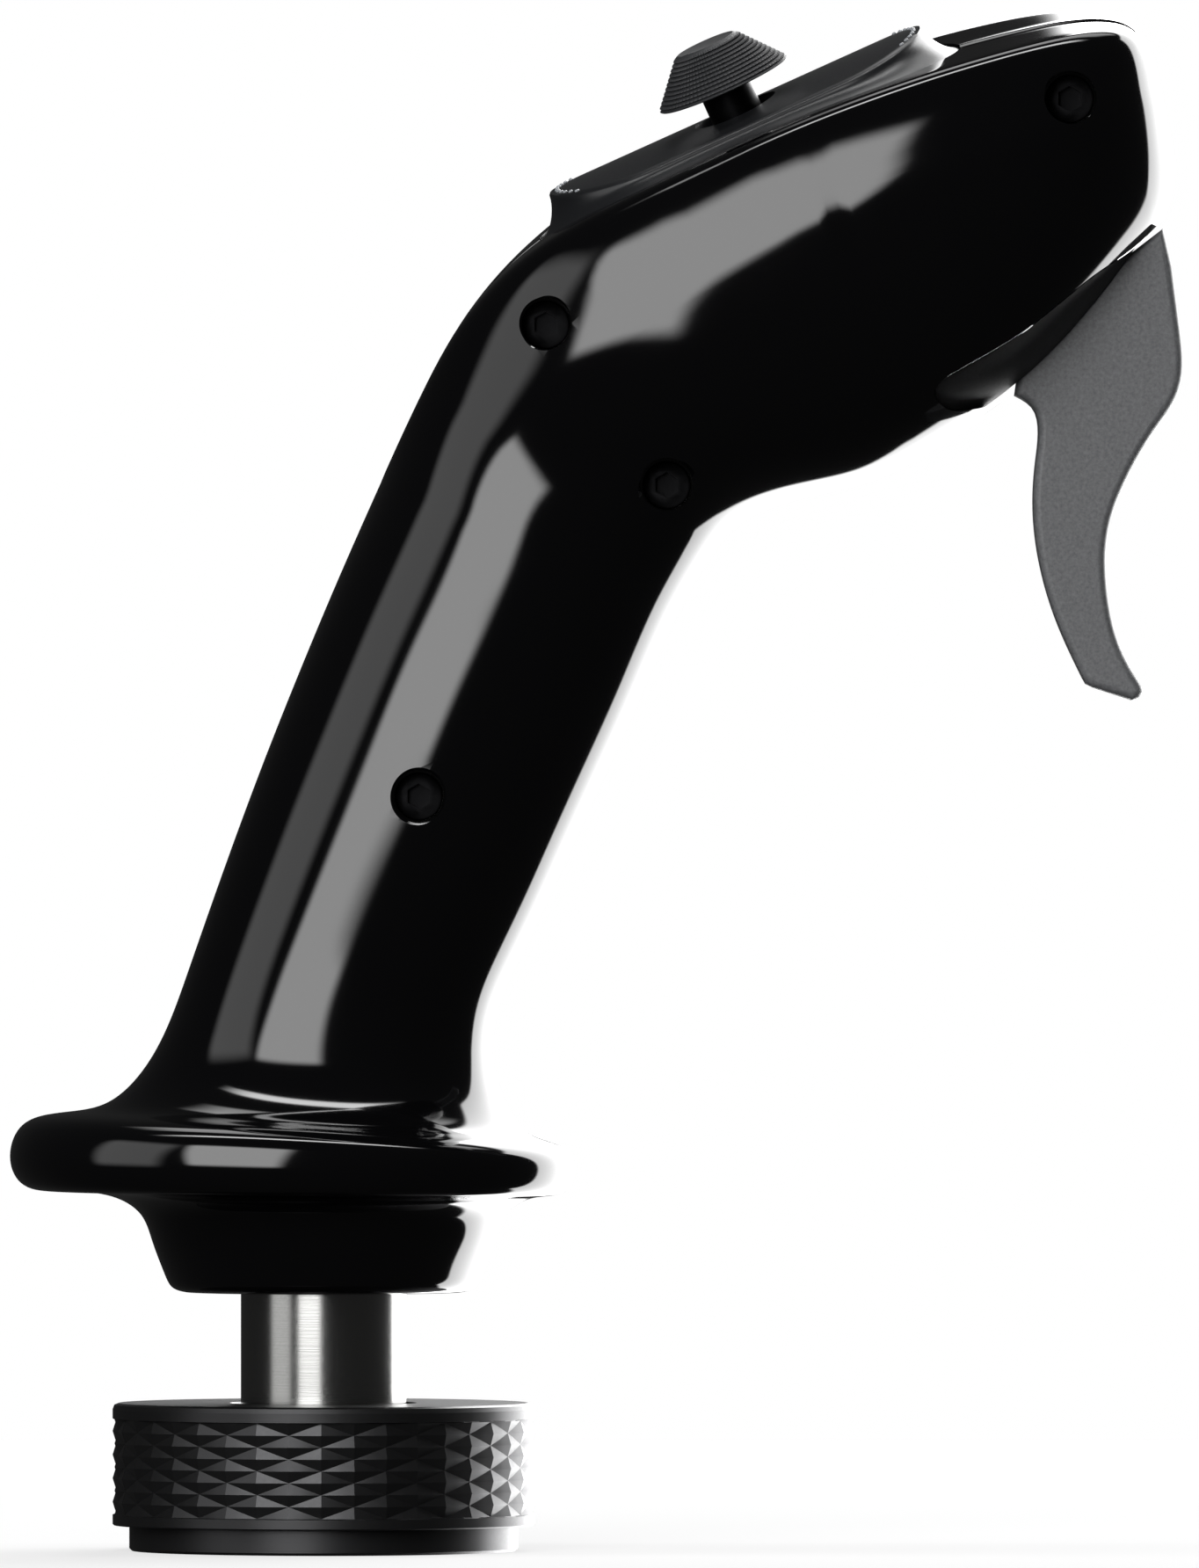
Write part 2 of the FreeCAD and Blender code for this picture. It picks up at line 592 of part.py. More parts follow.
def make_pad():
    """Thumb pad: tapered plinth whose foot lip follows the head's surface."""
    length, width, height = size("pad_length"), size("pad_width"), size("pad_height")
    foot = 2 * size("pad_foot")
    plinth = stadium(length, width, -height, 0.0)
    rim = [edge for edge in plinth.Edges if abs(edge.BoundBox.ZMin) < 1e-6 and abs(edge.BoundBox.ZMax) < 1e-6]
    plinth = plinth.makeFillet(0.8, rim)
    lip = stadium(length + foot, width + foot, -height, 0.0)
    lip_surface = whole_form(0.35, KNOTS[HANDLE_FOOT])
    lip_surface.Placement = pad_place.inverse() * lip_surface.Placement
    lip = lip.common(lip_surface)
    pad = plinth.fuse(lip)
    side = size("case_side") + 1.0
    ceiling = 2.4
    room = Part.makeBox(side, side, height, Vector(-side / 2, -side / 2, -height - ceiling))
    pad = pad.cut(room).cut(Part.makeCylinder(size("stick_hole") / 2, 2 * height, Vector(0, 0, -height)))
    post_end = -height - 2.6
    for x, y in PAD_POSTS:
        post = Part.makeCylinder(2.4, -1.5 - post_end, Vector(x, y, post_end))
        pad = pad.fuse(post).cut(Part.makeCylinder(1.0 + size("fit_gap"), 4.6, Vector(x, y, post_end)))
    solids = sorted(pad.Solids, key=lambda solid: solid.Volume)
    finished(feature("top_pad", solids[-1]), "top_pad", pad_place)


PAD_POSTS = [(sx * 15.5, sy * 6.6) for sx in (-1, 1) for sy in (-1, 1)]
PLATE_TOP = -7.7          # module plate's upper face, from the pad's face
PLATE_THICKNESS = 1.5
CASE_TOP, CASE_BOTTOM = -2.6, -13.0


def make_module_plate():
    """Steel plate clamped under the head's ledge, with the stick module in its square hole."""
    body = doc.addObject("PartDesign::Body", "ModulePlate")
    sketch = polygon_sketch(body, "XY_Plane", rectangle("20", "13.2"))
    pad = body.newObject("PartDesign::Pad", "ModulePlatePad")
    pad.Profile = sketch
    pad.Length = PLATE_THICKNESS
    window = body.newObject("Sketcher::SketchObject", "ModulePlateWindow")
    window.AttachmentSupport = (next(i for i in body.Origin.OriginFeatures if i.Role == "XY_Plane"), [""])
    window.MapMode = "FlatFace"
    half = size("case_side") / 2 + 0.05
    corners = [Vector(-half, -half, 0), Vector(half, -half, 0), Vector(half, half, 0), Vector(-half, half, 0)]
    for i in range(4):
        window.addGeometry(Part.LineSegment(corners[i], corners[(i + 1) % 4]), False)
    for x, y in PAD_POSTS:
        window.addGeometry(Part.Circle(Vector(x, y, 0), Vector(0, 0, 1), 1.2), False)
    doc.recompute()
    pocket = body.newObject("PartDesign::Pocket", "ModulePlatePocket")
    pocket.Profile = window
    pocket.Type = "ThroughAll"
    pocket.Midplane = True
    place = pad_place * Placement(Vector(0, 0, PLATE_TOP - PLATE_THICKNESS), Rotation())
    finished(body, "module_plate", place)


def small_screw(length, head_radius=1.6, head_height=1.3, radius=1.0):
    """A cap screw along +Z from under its head, its head below Z = 0."""
    head = Part.makeCylinder(head_radius, head_height, Vector(0, 0, -head_height))
    head = head.cut(Part.makeCylinder(0.6 * radius, 0.8, Vector(0, 0, -head_height)))
    return head.fuse(Part.makeCylinder(radius, length))


def make_plate_screws():
    shape = small_screw(5.5)
    base = PLATE_TOP - PLATE_THICKNESS
    places = [pad_place * Placement(Vector(x, y, base), Rotation()) for x, y in PAD_POSTS]
    finished(group("plate_screws", shape, places), "plate_screws")


def make_stick_case():
    """Moulded case of the stick module, open below, with bores for the gimbal ring's trunnions."""
    height = "%f" % (CASE_TOP - CASE_BOTTOM)
    outer = block("CaseOuter", ("Sizes.case_side", "Sizes.case_side", height), (0, 0, (CASE_TOP + CASE_BOTTOM) / 2))
    inner = block("CaseInner", ("Sizes.case_side - 2", "Sizes.case_side - 2", height),
                  (0, 0, (CASE_TOP + CASE_BOTTOM) / 2 - 1.0))
    mouth = cylinder("CaseMouth", "4.7", "4", (0, 0, CASE_TOP - 3))
    reach = "Sizes.case_side + 2"
    bore = cylinder("CaseBore", "0.8 + Sizes.run_gap", reach,
                    (-size("case_side") / 2 - 1, 0, -size("pivot_depth")), (1, 0, 0))
    finished(cut("StickCase", outer, fuse("CaseCuts", [inner, mouth, bore])), "stick_case", pad_place)


def make_gimbal_ring():
    """Square ring that tilts sideways in the case and carries the hub."""
    frame = block("RingOuter", ("12", "12", "2"), (0, 0, 0))
    trunnions = cylinder("RingTrunnions", "0.8", "18.6", (-9.3, 0, 0), (1, 0, 0))
    window = block("RingWindow", ("8.8", "8.8", "4"), (0, 0, 0))
    bores = cylinder("RingBores", "0.8 + Sizes.run_gap", "16", (0, -8, 0), (0, 1, 0))
    body = cut("GimbalRing", fuse("RingSolid", [frame, trunnions]), fuse("RingCuts", [window, bores]))
    finished(body, "gimbal_ring", pivot_place)


def make_stick_hub():
    """Round hub that tilts fore and aft in the ring and guides the stick rod."""
    drum = cylinder("HubDrum", "3.6", "4.4", (0, 0, -2.4))
    trunnions = cylinder("HubTrunnions", "0.8", "11.8", (0, -5.9, 0), (0, 1, 0))
    bore = cylinder("HubBore", "Sizes.rod_diameter / 2 + Sizes.run_gap", "8", (0, 0, -1))
    room = doc.addObject("Part::Sphere", "HubRoom")
    room.setExpression("Radius", "Sizes.ball_diameter / 2 + 0.2")
    mouth = cylinder("HubMouth", "Sizes.ball_diameter / 2 + 0.2", "4", (0, 0, -4))
    body = cut("StickHub", fuse("HubSolid", [drum, trunnions]), fuse("HubCuts", [bore, room, mouth]))
    finished(body, "stick_hub", pivot_place)


def make_stick_rod():
    """Steel rod with a ball on the pivot, and the wider stem that carries the cap."""
    stem_low, stem_high = 4.6, size("pivot_depth") + size("cap_lift") + 2.2
    rod = cylinder("RodShank", "Sizes.rod_diameter / 2", "%f" % (stem_low + 0.5), (0, 0, 0))
    ball = doc.addObject("Part::Sphere", "RodBall")
    ball.setExpression("Radius", "Sizes.ball_diameter / 2")
    stem = cylinder("RodStem", "Sizes.stem_diameter / 2", "%f" % (stem_high - stem_low), (0, 0, stem_low))
    finished(fuse("StickRod", [rod, ball, stem]), "stick_rod", pivot_place)


def make_stick_cap():
    """Rubber-coated cap: a flat-topped cone with a short straight rim and a socket for the stem."""
    base = "(Sizes.pivot_depth + Sizes.cap_lift)"
    socket = base + " + 2.25"
    corners = [
        ("Sizes.stem_diameter / 2 + Sizes.fit_gap", base),
        ("Sizes.cap_base / 2", base),
        ("Sizes.cap_base / 2", base + " + 0.5"),
        ("Sizes.cap_top / 2", base + " + Sizes.cap_height"),
        ("0", base + " + Sizes.cap_height"),
        ("0", socket),
        ("Sizes.stem_diameter / 2 + Sizes.fit_gap", socket),
    ]
    finished(turned("StickCap", corners), "stick_cap", pivot_place)


def make_press_parts():
    """Tact switch under the ball, its plunger, and the spring that lifts the rod."""
    body = block("TactBody", ("6", "6", "3.05"), (0, 0, -13.05 + 3.05 / 2))
    bore = cylinder("TactBore", "1.6 + Sizes.run_gap", "3", (0, 0, -11.6))
    finished(cut("PressSwitch", body, bore), "press_switch", pad_place)
    plunger = cylinder("PressPlunger", "1.6", "2.2", (0, 0, -10.9))
    plunger.Label = "press_plunger"
    plunger.Placement = pad_place * plunger.Placement
    parts.append(plunger)
    spring = feature("press_spring", coil(2.1, 0.2, 0.58, 2.3))
    place = pivot_place * Placement(Vector(0, 0, 2.2), Rotation())
    finished(spring, "press_spring", place)


def make_module_board():
    board = block("ModuleBoard", ("22", "22", "Sizes.board_thickness"),
                  (0, 0, CASE_BOTTOM - 0.06 - size("board_thickness") / 2))
    place = pad_place * board.Placement
    finished(board, "module_board", place)


# ---------------------------------------------------------------- trigger group

TRIGGER_FRONT = [(95.4, 150.3), (96.4, 146.0), (97.2, 139.8), (97.6, 136.1), (97.4, 132.8), (96.4, 130.3),
                 (94.7, 127.8), (91.2, 121.8), (89.6, 117.8), (88.9, 113.7), (89.0, 109.8), (90.8, 102.1),
                 (92.9, 98.4)]
TRIGGER_TIP = [(92.9, 98.4), (93.0, 97.1), (91.9, 96.7)]
TRIGGER_FOOT = [(91.9, 96.7), (87.4, 98.2)]
TRIGGER_HEEL = [(87.4, 98.2), (86.7, 98.5), (86.3, 99.3)]
TRIGGER_BACK = [(86.3, 99.3), (83.5, 105.4), (81.4, 112.5), (80.7, 118.6), (81.0, 124.0), (81.3, 127.4),
                (80.7, 129.9), (78.6, 131.4)]
ARM_TOP = 149.6           # top of the trigger's rear arm, under the switch plunger


def trigger_outline():
    """The blade's outline, closed through the hidden top that lies inside the slot."""
    hidden = [(78.6, 131.4), (79.4, 137.0), (83.0, 143.6), (83.0, 146.6), (76.2, 146.9), (76.2, ARM_TOP),
              (84.0, ARM_TOP), (89.4, 148.9), (90.3, 146.4), TRIGGER_FRONT[0]]
    curves = [curve_through(TRIGGER_FRONT), Part.Arc(*[Vector(x, 0, z) for x, z in TRIGGER_TIP])]
    curves += [line(*TRIGGER_FOOT), Part.Arc(*[Vector(x, 0, z) for x, z in TRIGGER_HEEL])]
    curves.append(curve_through(TRIGGER_BACK))
    curves += [line(one, two) for one, two in zip(hidden, hidden[1:])]
    return curves


def make_trigger():
    half = size("trigger_width") / 2
    blade = profile_prism(trigger_outline(), half)
    hub = Part.makeCylinder(HUB_RADIUS, 2 * half, TRIGGER_PIVOT - Vector(0, half, 0), Vector(0, 1, 0))
    blade = blade.fuse(hub).removeSplitter()
    soft = []
    for edge in blade.Edges:
        box = edge.BoundBox
        flat = abs(box.YMax - box.YMin) < 1e-6
        if flat and box.ZMin < 131 and box.ZMax < 151.5 and edge.Length > 1.0:
            soft.append(edge)
    for radius in (1.1, 0.8, 0.5):
        try:
            rounded = blade.makeFillet(radius, soft)
            if rounded.isValid():
                blade = rounded
                print("trigger edges rounded", radius)
                break
        except Exception as problem:
            print("trigger fillet", radius, problem)
    blade = blade.cut(post(TRIGGER_PIVOT.x, TRIGGER_PIVOT.z, size("pin_diameter") / 2 + size("run_gap"), -9, 9))
    finished(feature("trigger", blade), "trigger")


def make_trigger_cradle():
    """Matte inlay in the shells' crescent, slotted for the trigger, with two ears for its pin."""
    form = whole_form(0.7, KNOTS[HANDLE_FOOT + 5], rows=80)
    inlay = crescent(0.12).common(form)
    half_slot = size("trigger_width") / 2 + size("trigger_gap")
    slot = Part.makeBox(30, 2 * half_slot, 60, Vector(75.0, -half_slot, 120))
    body = inlay.cut(slot)
    for side in (-1, 1):
        body = body.fuse(pin_ear(side, 0.0).common(form))
    pin_radius = size("pin_diameter") / 2 + size("fit_gap")
    body = body.cut(post(TRIGGER_PIVOT.x, TRIGGER_PIVOT.z, pin_radius, -12, 12))
    body = body.removeSplitter()
    solids = sorted(body.Solids, key=lambda solid: solid.Volume)
    print("cradle solids", [round(solid.Volume, 1) for solid in solids], body.isValid())
    finished(feature("trigger_cradle", solids[-1]), "trigger_cradle")


def make_trigger_pin():
    pin = cylinder("TriggerPin", "Sizes.pin_diameter / 2", "Sizes.pin_length",
                   (TRIGGER_PIVOT.x, -size("pin_length") / 2, TRIGGER_PIVOT.z), (0, 1, 0))
    finished(pin, "trigger_pin")


SWITCH_MIDDLE = (78.25, -2.2, 155.05)
SWITCH_BOTTOM = 151.8


def make_trigger_switch():
    """Subminiature switch over the trigger's arm, its plunger and its two screws."""
    body = block("SwitchBody", ("12.8", "5.8", "6.5"), SWITCH_MIDDLE)
    x, y = SWITCH_MIDDLE[:2]
    bore = cylinder("SwitchBore", "0.8 + Sizes.run_gap", "3.0", (x, y, SWITCH_BOTTOM - 0.2))
    holes = [cylinder("SwitchHole%d" % i, "1.0 + Sizes.run_gap", "10", (px, -7, pz), (0, 1, 0))
             for i, (px, pz) in enumerate(SWITCH_POSTS)]
    finished(cut("TriggerSwitch", body, fuse("SwitchCuts", [bore] + holes)), "trigger_switch")
    gap = 0.1
    low = ARM_TOP + gap
    stem = Part.makeCylinder(0.8, 152.6 - low - 0.8, Vector(x, y, low + 0.8))
    tip = Part.makeSphere(0.8, Vector(x, y, low + 0.8))
    finished(feature("switch_plunger", stem.fuse(tip)), "switch_plunger")
    shape = small_screw(8.5, 1.45)
    turn = Rotation(Vector(0, 0, 1), Vector(0, -1, 0))
    places = [Placement(Vector(px, 0.75, pz), turn) for px, pz in SWITCH_POSTS]
    finished(group("switch_screws", shape, places), "switch_screws")


SPRING_AT = (78.25, 3.2)     # X, Y of the trigger's return spring
SPRING_HEIGHT = 7.4


def make_trigger_spring():
    """Return spring over the trigger's arm, and the seat that holds its upper end."""
    spring = coil(1.35, 0.22, 1.2, SPRING_HEIGHT)
    place = Placement(Vector(*SPRING_AT, ARM_TOP + 0.2), Rotation())
    finished(feature("trigger_spring", spring), "trigger_spring", place)


# ---------------------------------------------------------------- boards and leads


def make_controller():
    """Controller board in the handle, its chip, its plugs and its two screws."""
    thickness = size("board_thickness")
    board = block("ControllerBoard", ("17", "Sizes.board_thickness", "26"), (0, thickness / 2, 0))
    holes = [cylinder("BoardHole%d" % i, "1.05", "4", (ax, -1, az), (0, 1, 0))
             for i, (ax, az) in enumerate(BOARD_HOLES)]
    finished(cut("ControllerBoardCut", board, fuse("BoardHoles", holes)), "controller_board", board_place)
    chip = block("ControllerChip", ("7", "1.0", "7"), (-2.5, -0.55, -2.0))
    finished(chip, "controller_chip", board_place * chip.Placement)
    plug = Part.makeBox(5.0, 4.0, 5.0, Vector(-2.5, -4.05, -2.5))
    places = [board_place * Placement(Vector(x, 0, z), Rotation()) for x, z in PLUGS]
    finished(group("board_plugs", plug, places), "board_plugs")
    shape = small_screw(6.0)
    turn = Rotation(Vector(0, 0, 1), Vector(0, 1, 0))
    places = [Placement(Vector(x, BOARD_CENTRE.y - 0.05, z), turn) for x, z in BOARD_POSTS]
    finished(group("board_screws", shape, places), "board_screws")


PLUGS = [(6.0, -10.4), (-3.0, 10.4), (4.0, 10.4)]   # board X, Z of the plugs


def make_leads():
    """Leads from the shaft's connector to the board, and on to the stick and the trigger switch."""
    gap = 0.1
    plug_half = 2.5
    trunk_y = -size("trunk_diameter") / 2 - gap
    low = PLUGS[0][1] - plug_half - gap
    trunk = [Vector(0, 0, size("foot_level") + size("connector_depth") + INSERT_THICKNESS + gap),
             Vector(0, 0, 57)]
    trunk += [board_place.multVec(Vector(PLUGS[0][0], trunk_y, z)) for z in (low - 10.0, low)]
    finished(feature("main_lead", tube_along(trunk, size("trunk_diameter") / 2)), "main_lead")
    radius = size("lead_diameter") / 2
    plug_y = -2.0
    high = PLUGS[1][1] + plug_half + gap
    board_low = CASE_BOTTOM - 0.06 - size("board_thickness") - 0.1
    arrive = pad_place.multVec(Vector(-6, 0, board_low))
    before = pad_place.multVec(Vector(-6, 0, board_low - 9.0))
    route = [board_place.multVec(Vector(PLUGS[1][0], plug_y, z)) for z in (high, high + 10.0)]
    route += [before, arrive]
    finished(feature("stick_lead", tube_along(route, radius)), "stick_lead")
    rear = SWITCH_MIDDLE[0] - 6.4 - gap
    route = [board_place.multVec(Vector(PLUGS[2][0], plug_y, z)) for z in (high, high + 10.0)]
    route += [Vector(58, -5, 138), Vector(64.2, -2.2, 153.4), Vector(rear, -2.2, 153.4)]
    finished(feature("trigger_lead", tube_along(route, radius)), "trigger_lead")


# ---------------------------------------------------------------- screws and inserts


def make_shell_fasteners():
    """M3 socket screws in from the right, and the brass inserts they pull on in the left shell."""
    radius, height = size("head_diameter") / 2, size("head_height")
    head = Part.makeCylinder(radius, height, Vector(0, 0, -height))
    socket = Part.makeCylinder(1.45, 1.6, Vector(0, 0, -height))
    screw = head.cut(socket).fuse(Part.makeCylinder(size("screw_diameter") / 2 - 0.03, size("screw_length")))
    turn = Rotation(Vector(0, 0, 1), Vector(0, 1, 0))
    places = [Placement(Vector(x, -size("head_seat"), z), turn) for x, z in SCREWS]
    finished(group("shell_screws", screw, places), "shell_screws")
    insert = Part.makeCylinder(size("insert_diameter") / 2, size("insert_length"))
    insert = insert.cut(Part.makeCylinder(size("screw_diameter") / 2, size("insert_length")))
    places = [Placement(Vector(x, 0.1, z), turn) for x, z in SCREWS]
    finished(group("brass_inserts", insert, places), "brass_inserts")


# ---------------------------------------------------------------- shaft and coupling


KEY_LEVEL = 7.6      # axis of the key dowel, in the shaft's mouth


def make_shaft():
    """Steel tube with a cross hole for its key dowel."""
    tube = turned("ShaftTube", [
        ("Sizes.shaft_bore / 2", "Sizes.foot_level"),
        ("Sizes.shaft_diameter / 2", "Sizes.foot_level"),
        ("Sizes.shaft_diameter / 2", "Sizes.shaft_top"),
        ("Sizes.shaft_bore / 2", "Sizes.shaft_top"),
    ])
    hole = cylinder("KeyHole", "Sizes.key_diameter / 2 + Sizes.fit_gap", "Sizes.shaft_diameter / 2 + 1",
                    (0, 0, KEY_LEVEL), (0, -1, 0))
    finished(cut("Shaft", tube, hole), "shaft")


def make_shaft_foot():
    """Steel ring welded round the shaft's foot. The collar pulls it down on the base."""
    foot_top = "Sizes.foot_level + Sizes.foot_thickness"
    inner = "Sizes.shaft_diameter / 2 + Sizes.fit_gap"
    corners = [
        (inner, "Sizes.foot_level"),
        ("Sizes.foot_diameter / 2", "Sizes.foot_level"),
        ("Sizes.foot_diameter / 2", foot_top),
        (inner, foot_top),
    ]
    finished(turned("ShaftFoot", corners), "shaft_foot")


def make_shaft_block():
    """Moulded block that keys the shaft into the shells' well."""
    ring = turned("BlockRing", [
        ("Sizes.shaft_diameter / 2 + Sizes.fit_gap", "Sizes.floor_level + 0.1"),
        ("Sizes.block_diameter / 2", "Sizes.floor_level + 0.1"),
        ("Sizes.block_diameter / 2", "Sizes.floor_level + 0.1 + Sizes.block_height"),
        ("Sizes.shaft_diameter / 2 + Sizes.fit_gap", "Sizes.floor_level + 0.1 + Sizes.block_height"),
    ])
    floor = size("floor_level")
    keys = [block("BlockKey%d" % i, ("4.2", "4", "20"), (0, y, floor + 8)) for i, y in ((0, -14.2), (1, 14.2))]
    hole = cylinder("BlockHole", "2.0 + Sizes.fit_gap", "40", (-20, 0, GRUB_LEVEL), (1, 0, 0))
    finished(cut("ShaftBlock", ring, fuse("BlockCuts", keys + [hole])), "shaft_block")


GRUB_LEVEL = 40.0


def make_grub_screws():
    inner = size("shaft_diameter") / 2 + 0.05
    screw = Part.makeCylinder(2.0, 3.9).cut(Part.makeCylinder(1.0, 1.8, Vector(0, 0, 2.1)))
    places = [
        Placement(Vector(side * inner, 0, GRUB_LEVEL), Rotation(Vector(0, 0, 1), Vector(side, 0, 0)))
        for side in (-1, 1)
    ]
    finished(group("grub_screws", screw, places), "grub_screws")


INSERT_THICKNESS = 6.0    # connector's moulded insert
PIN_CIRCLE = 3.6          # radius of the circle of its five pins


def make_connector():
    """Five-pin connector recessed in the shaft's mouth, and the dowel that keys the base's plug."""
    face = size("foot_level") + size("connector_depth")
    insert = cylinder("ConnectorInsert", "Sizes.shaft_bore / 2 - Sizes.fit_gap", "%f" % INSERT_THICKNESS,
                      (0, 0, face))
    places = [Placement(Vector(PIN_CIRCLE * math.cos(a), PIN_CIRCLE * math.sin(a), 0), Rotation())
              for a in [math.radians(72 * i + 90) for i in range(5)]]
    holes = [cylinder("PinHole%d" % i, "0.5 + Sizes.fit_gap", "30", tuple(place.Base))
             for i, place in enumerate(places)]
    finished(cut("Connector", insert, fuse("PinHoles", holes)), "connector_insert")
    tip = size("foot_level") + size("pin_recess")
    pin = Part.makeCylinder(0.5, face + INSERT_THICKNESS + 0.8 - tip, Vector(0, 0, tip))
    finished(group("connector_pins", pin, places), "connector_pins")
    key = cylinder("KeyDowel", "Sizes.key_diameter / 2", "3.3", (0, -5.9, KEY_LEVEL), (0, -1, 0))
    finished(key, "locating_peg")


def make_collar():
    """Captive coupling nut: knurled body, plain step, M36x2 thread at its mouth."""
    shaft_hole = "Sizes.collar_hole / 2"
    corners = [
        ("Sizes.thread_minor / 2", "0"),
        ("Sizes.spigot_diameter / 2 - 0.3", "0"),
        ("Sizes.spigot_diameter / 2", "0.3"),
        ("Sizes.spigot_diameter / 2", "Sizes.spigot_height"),
        ("Sizes.collar_diameter / 2", "Sizes.spigot_height"),
        ("Sizes.collar_diameter / 2", "Sizes.collar_height - Sizes.collar_chamfer"),
        ("Sizes.collar_diameter / 2 - Sizes.collar_chamfer", "Sizes.collar_height"),
        (shaft_hole, "Sizes.collar_height"),
        (shaft_hole, "Sizes.shoulder_level"),
        ("Sizes.relief_diameter / 2", "Sizes.shoulder_level"),
        ("Sizes.relief_diameter / 2", "Sizes.thread_depth"),
        ("Sizes.thread_minor / 2", "Sizes.thread_depth"),
    ]
    finished(turned("CouplingCollar", corners), "coupling_collar")


def make_washer():
    """Slip washer between the shaft's foot and the collar's shoulder."""
    low = "Sizes.foot_level + Sizes.foot_thickness + 0.1"
    high = low + " + Sizes.washer_thickness"
    inner = "Sizes.shaft_diameter / 2 + Sizes.slide_gap"
    outer = "Sizes.washer_diameter / 2"
    corners = [(inner, low), (outer, low), (outer, high), (inner, high)]
    finished(turned("SlipWasher", corners), "slip_washer")


# ---------------------------------------------------------------- build, check and write

make_shaft()
make_shaft_foot()
make_shaft_block()
make_grub_screws()
make_connector()
make_collar()
make_washer()
make_shells()
make_shell_fasteners()
make_pad()
make_module_plate()
make_plate_screws()
make_stick_case()
make_gimbal_ring()
make_stick_hub()
make_stick_rod()
make_stick_cap()
make_press_parts()
make_module_board()
make_trigger_cradle()
make_trigger()
make_trigger_pin()
make_trigger_switch()
make_trigger_spring()
make_controller()
make_leads()
doc.recompute()

faults = [obj.Name for obj in doc.Objects if {"Invalid", "Error"} & set(obj.State)]
for obj in parts:
    if obj.Shape.isNull() or not obj.Shape.isValid():
        faults.append(obj.Label)
if faults:
    raise RuntimeError("faulty objects: %s" % faults)
for obj in parts:
    obj.Shape.exportStep("parts/%s.step" % obj.Label)
print(len(parts), "sub-parts written")
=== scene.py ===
import math

import bmesh
import bpy
from mathutils import Matrix, Vector
from mathutils.bvhtree import BVHTree


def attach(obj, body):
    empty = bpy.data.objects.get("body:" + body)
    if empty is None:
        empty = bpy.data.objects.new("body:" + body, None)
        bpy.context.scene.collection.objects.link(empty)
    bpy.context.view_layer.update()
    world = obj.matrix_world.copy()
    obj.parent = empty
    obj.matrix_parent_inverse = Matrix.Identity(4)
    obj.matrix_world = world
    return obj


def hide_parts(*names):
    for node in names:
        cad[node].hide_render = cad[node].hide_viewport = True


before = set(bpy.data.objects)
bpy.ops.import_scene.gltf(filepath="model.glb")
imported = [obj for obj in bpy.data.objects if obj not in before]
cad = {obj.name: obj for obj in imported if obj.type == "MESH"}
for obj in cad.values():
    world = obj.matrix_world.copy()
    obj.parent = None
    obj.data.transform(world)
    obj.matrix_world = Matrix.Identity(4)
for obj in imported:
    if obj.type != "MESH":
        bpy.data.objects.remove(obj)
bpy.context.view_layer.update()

# ---------------------------------------------------------------- shell halves
# The grip is two polished black ABS mouldings that meet on a fine parting line down the middle.
# They carry the handle, the canted head, the oval hand rest and the skirt over the shaft, and are
# pulled together by four socket screws in deep counterbores on the right.

MM = 0.001


def linear(hex_colour):
    """A linear colour from an sRGB hex value."""
    parts = [int(hex_colour[i:i + 2], 16) / 255 for i in (1, 3, 5)]
    return tuple(p / 12.92 if p <= 0.04045 else ((p + 0.055) / 1.055) ** 2.4 for p in parts) + (1.0,)


def add(tree, kind, settings=None, **links):
    """Adds a node. A link is a value or another node's output, by socket name, or in0, in1 by number."""
    item = tree.nodes.new("ShaderNode" + kind)
    for key, value in (settings or {}).items():
        setattr(item, key, value)
    for key, value in links.items():
        name = key.replace("_", " ")
        numbered = key.startswith("in") and key[2:].isdigit()
        socket = item.inputs[int(key[2:]) if numbered else name]
        if isinstance(value, bpy.types.NodeSocket):
            tree.links.new(value, socket)
        else:
            socket.default_value = value
    return item


def new_material(name):
    """An empty material, with its tree, its shader and the piece's own coordinates."""
    material = bpy.data.materials.new(name)
    material.use_nodes = True
    tree = material.node_tree
    tree.nodes.clear()
    shader = add(tree, "BsdfPrincipled")
    tree.links.new(shader.outputs["BSDF"], add(tree, "OutputMaterial").inputs["Surface"])
    where = add(tree, "TexCoord").outputs["Object"]
    return material, tree, shader, where


def bump(tree, shader, height, depth_mm, strength=1.0):
    """Raises the surface by a height pattern of this real depth."""
    item = add(tree, "Bump", Height=height, Distance=depth_mm * MM, Strength=strength)
    tree.links.new(item.outputs["Normal"], shader.inputs["Normal"])


# Polished ABS, moulded in a mirror-finished tool: near-black, with a sharp clear reflection that
# the faintest long moulding waves bend, and a very slight haze where it has been wiped.
polished_abs, tree, shader, where = new_material("polished_black_abs")
shader.inputs["Base Color"].default_value = linear("#060607")
shader.inputs["IOR"].default_value = 1.54
haze = add(tree, "TexNoise", Vector=where, Scale=1 / (9 * MM), Detail=3.0)
wiped = add(tree, "MapRange", Value=haze.outputs["Fac"], To_Min=0.045, To_Max=0.085)
tree.links.new(wiped.outputs["Result"], shader.inputs["Roughness"])
waves = add(tree, "TexNoise", Vector=where, Scale=1 / (14 * MM), Detail=0.0)
bump(tree, shader, waves.outputs["Fac"], 0.02, 0.35)

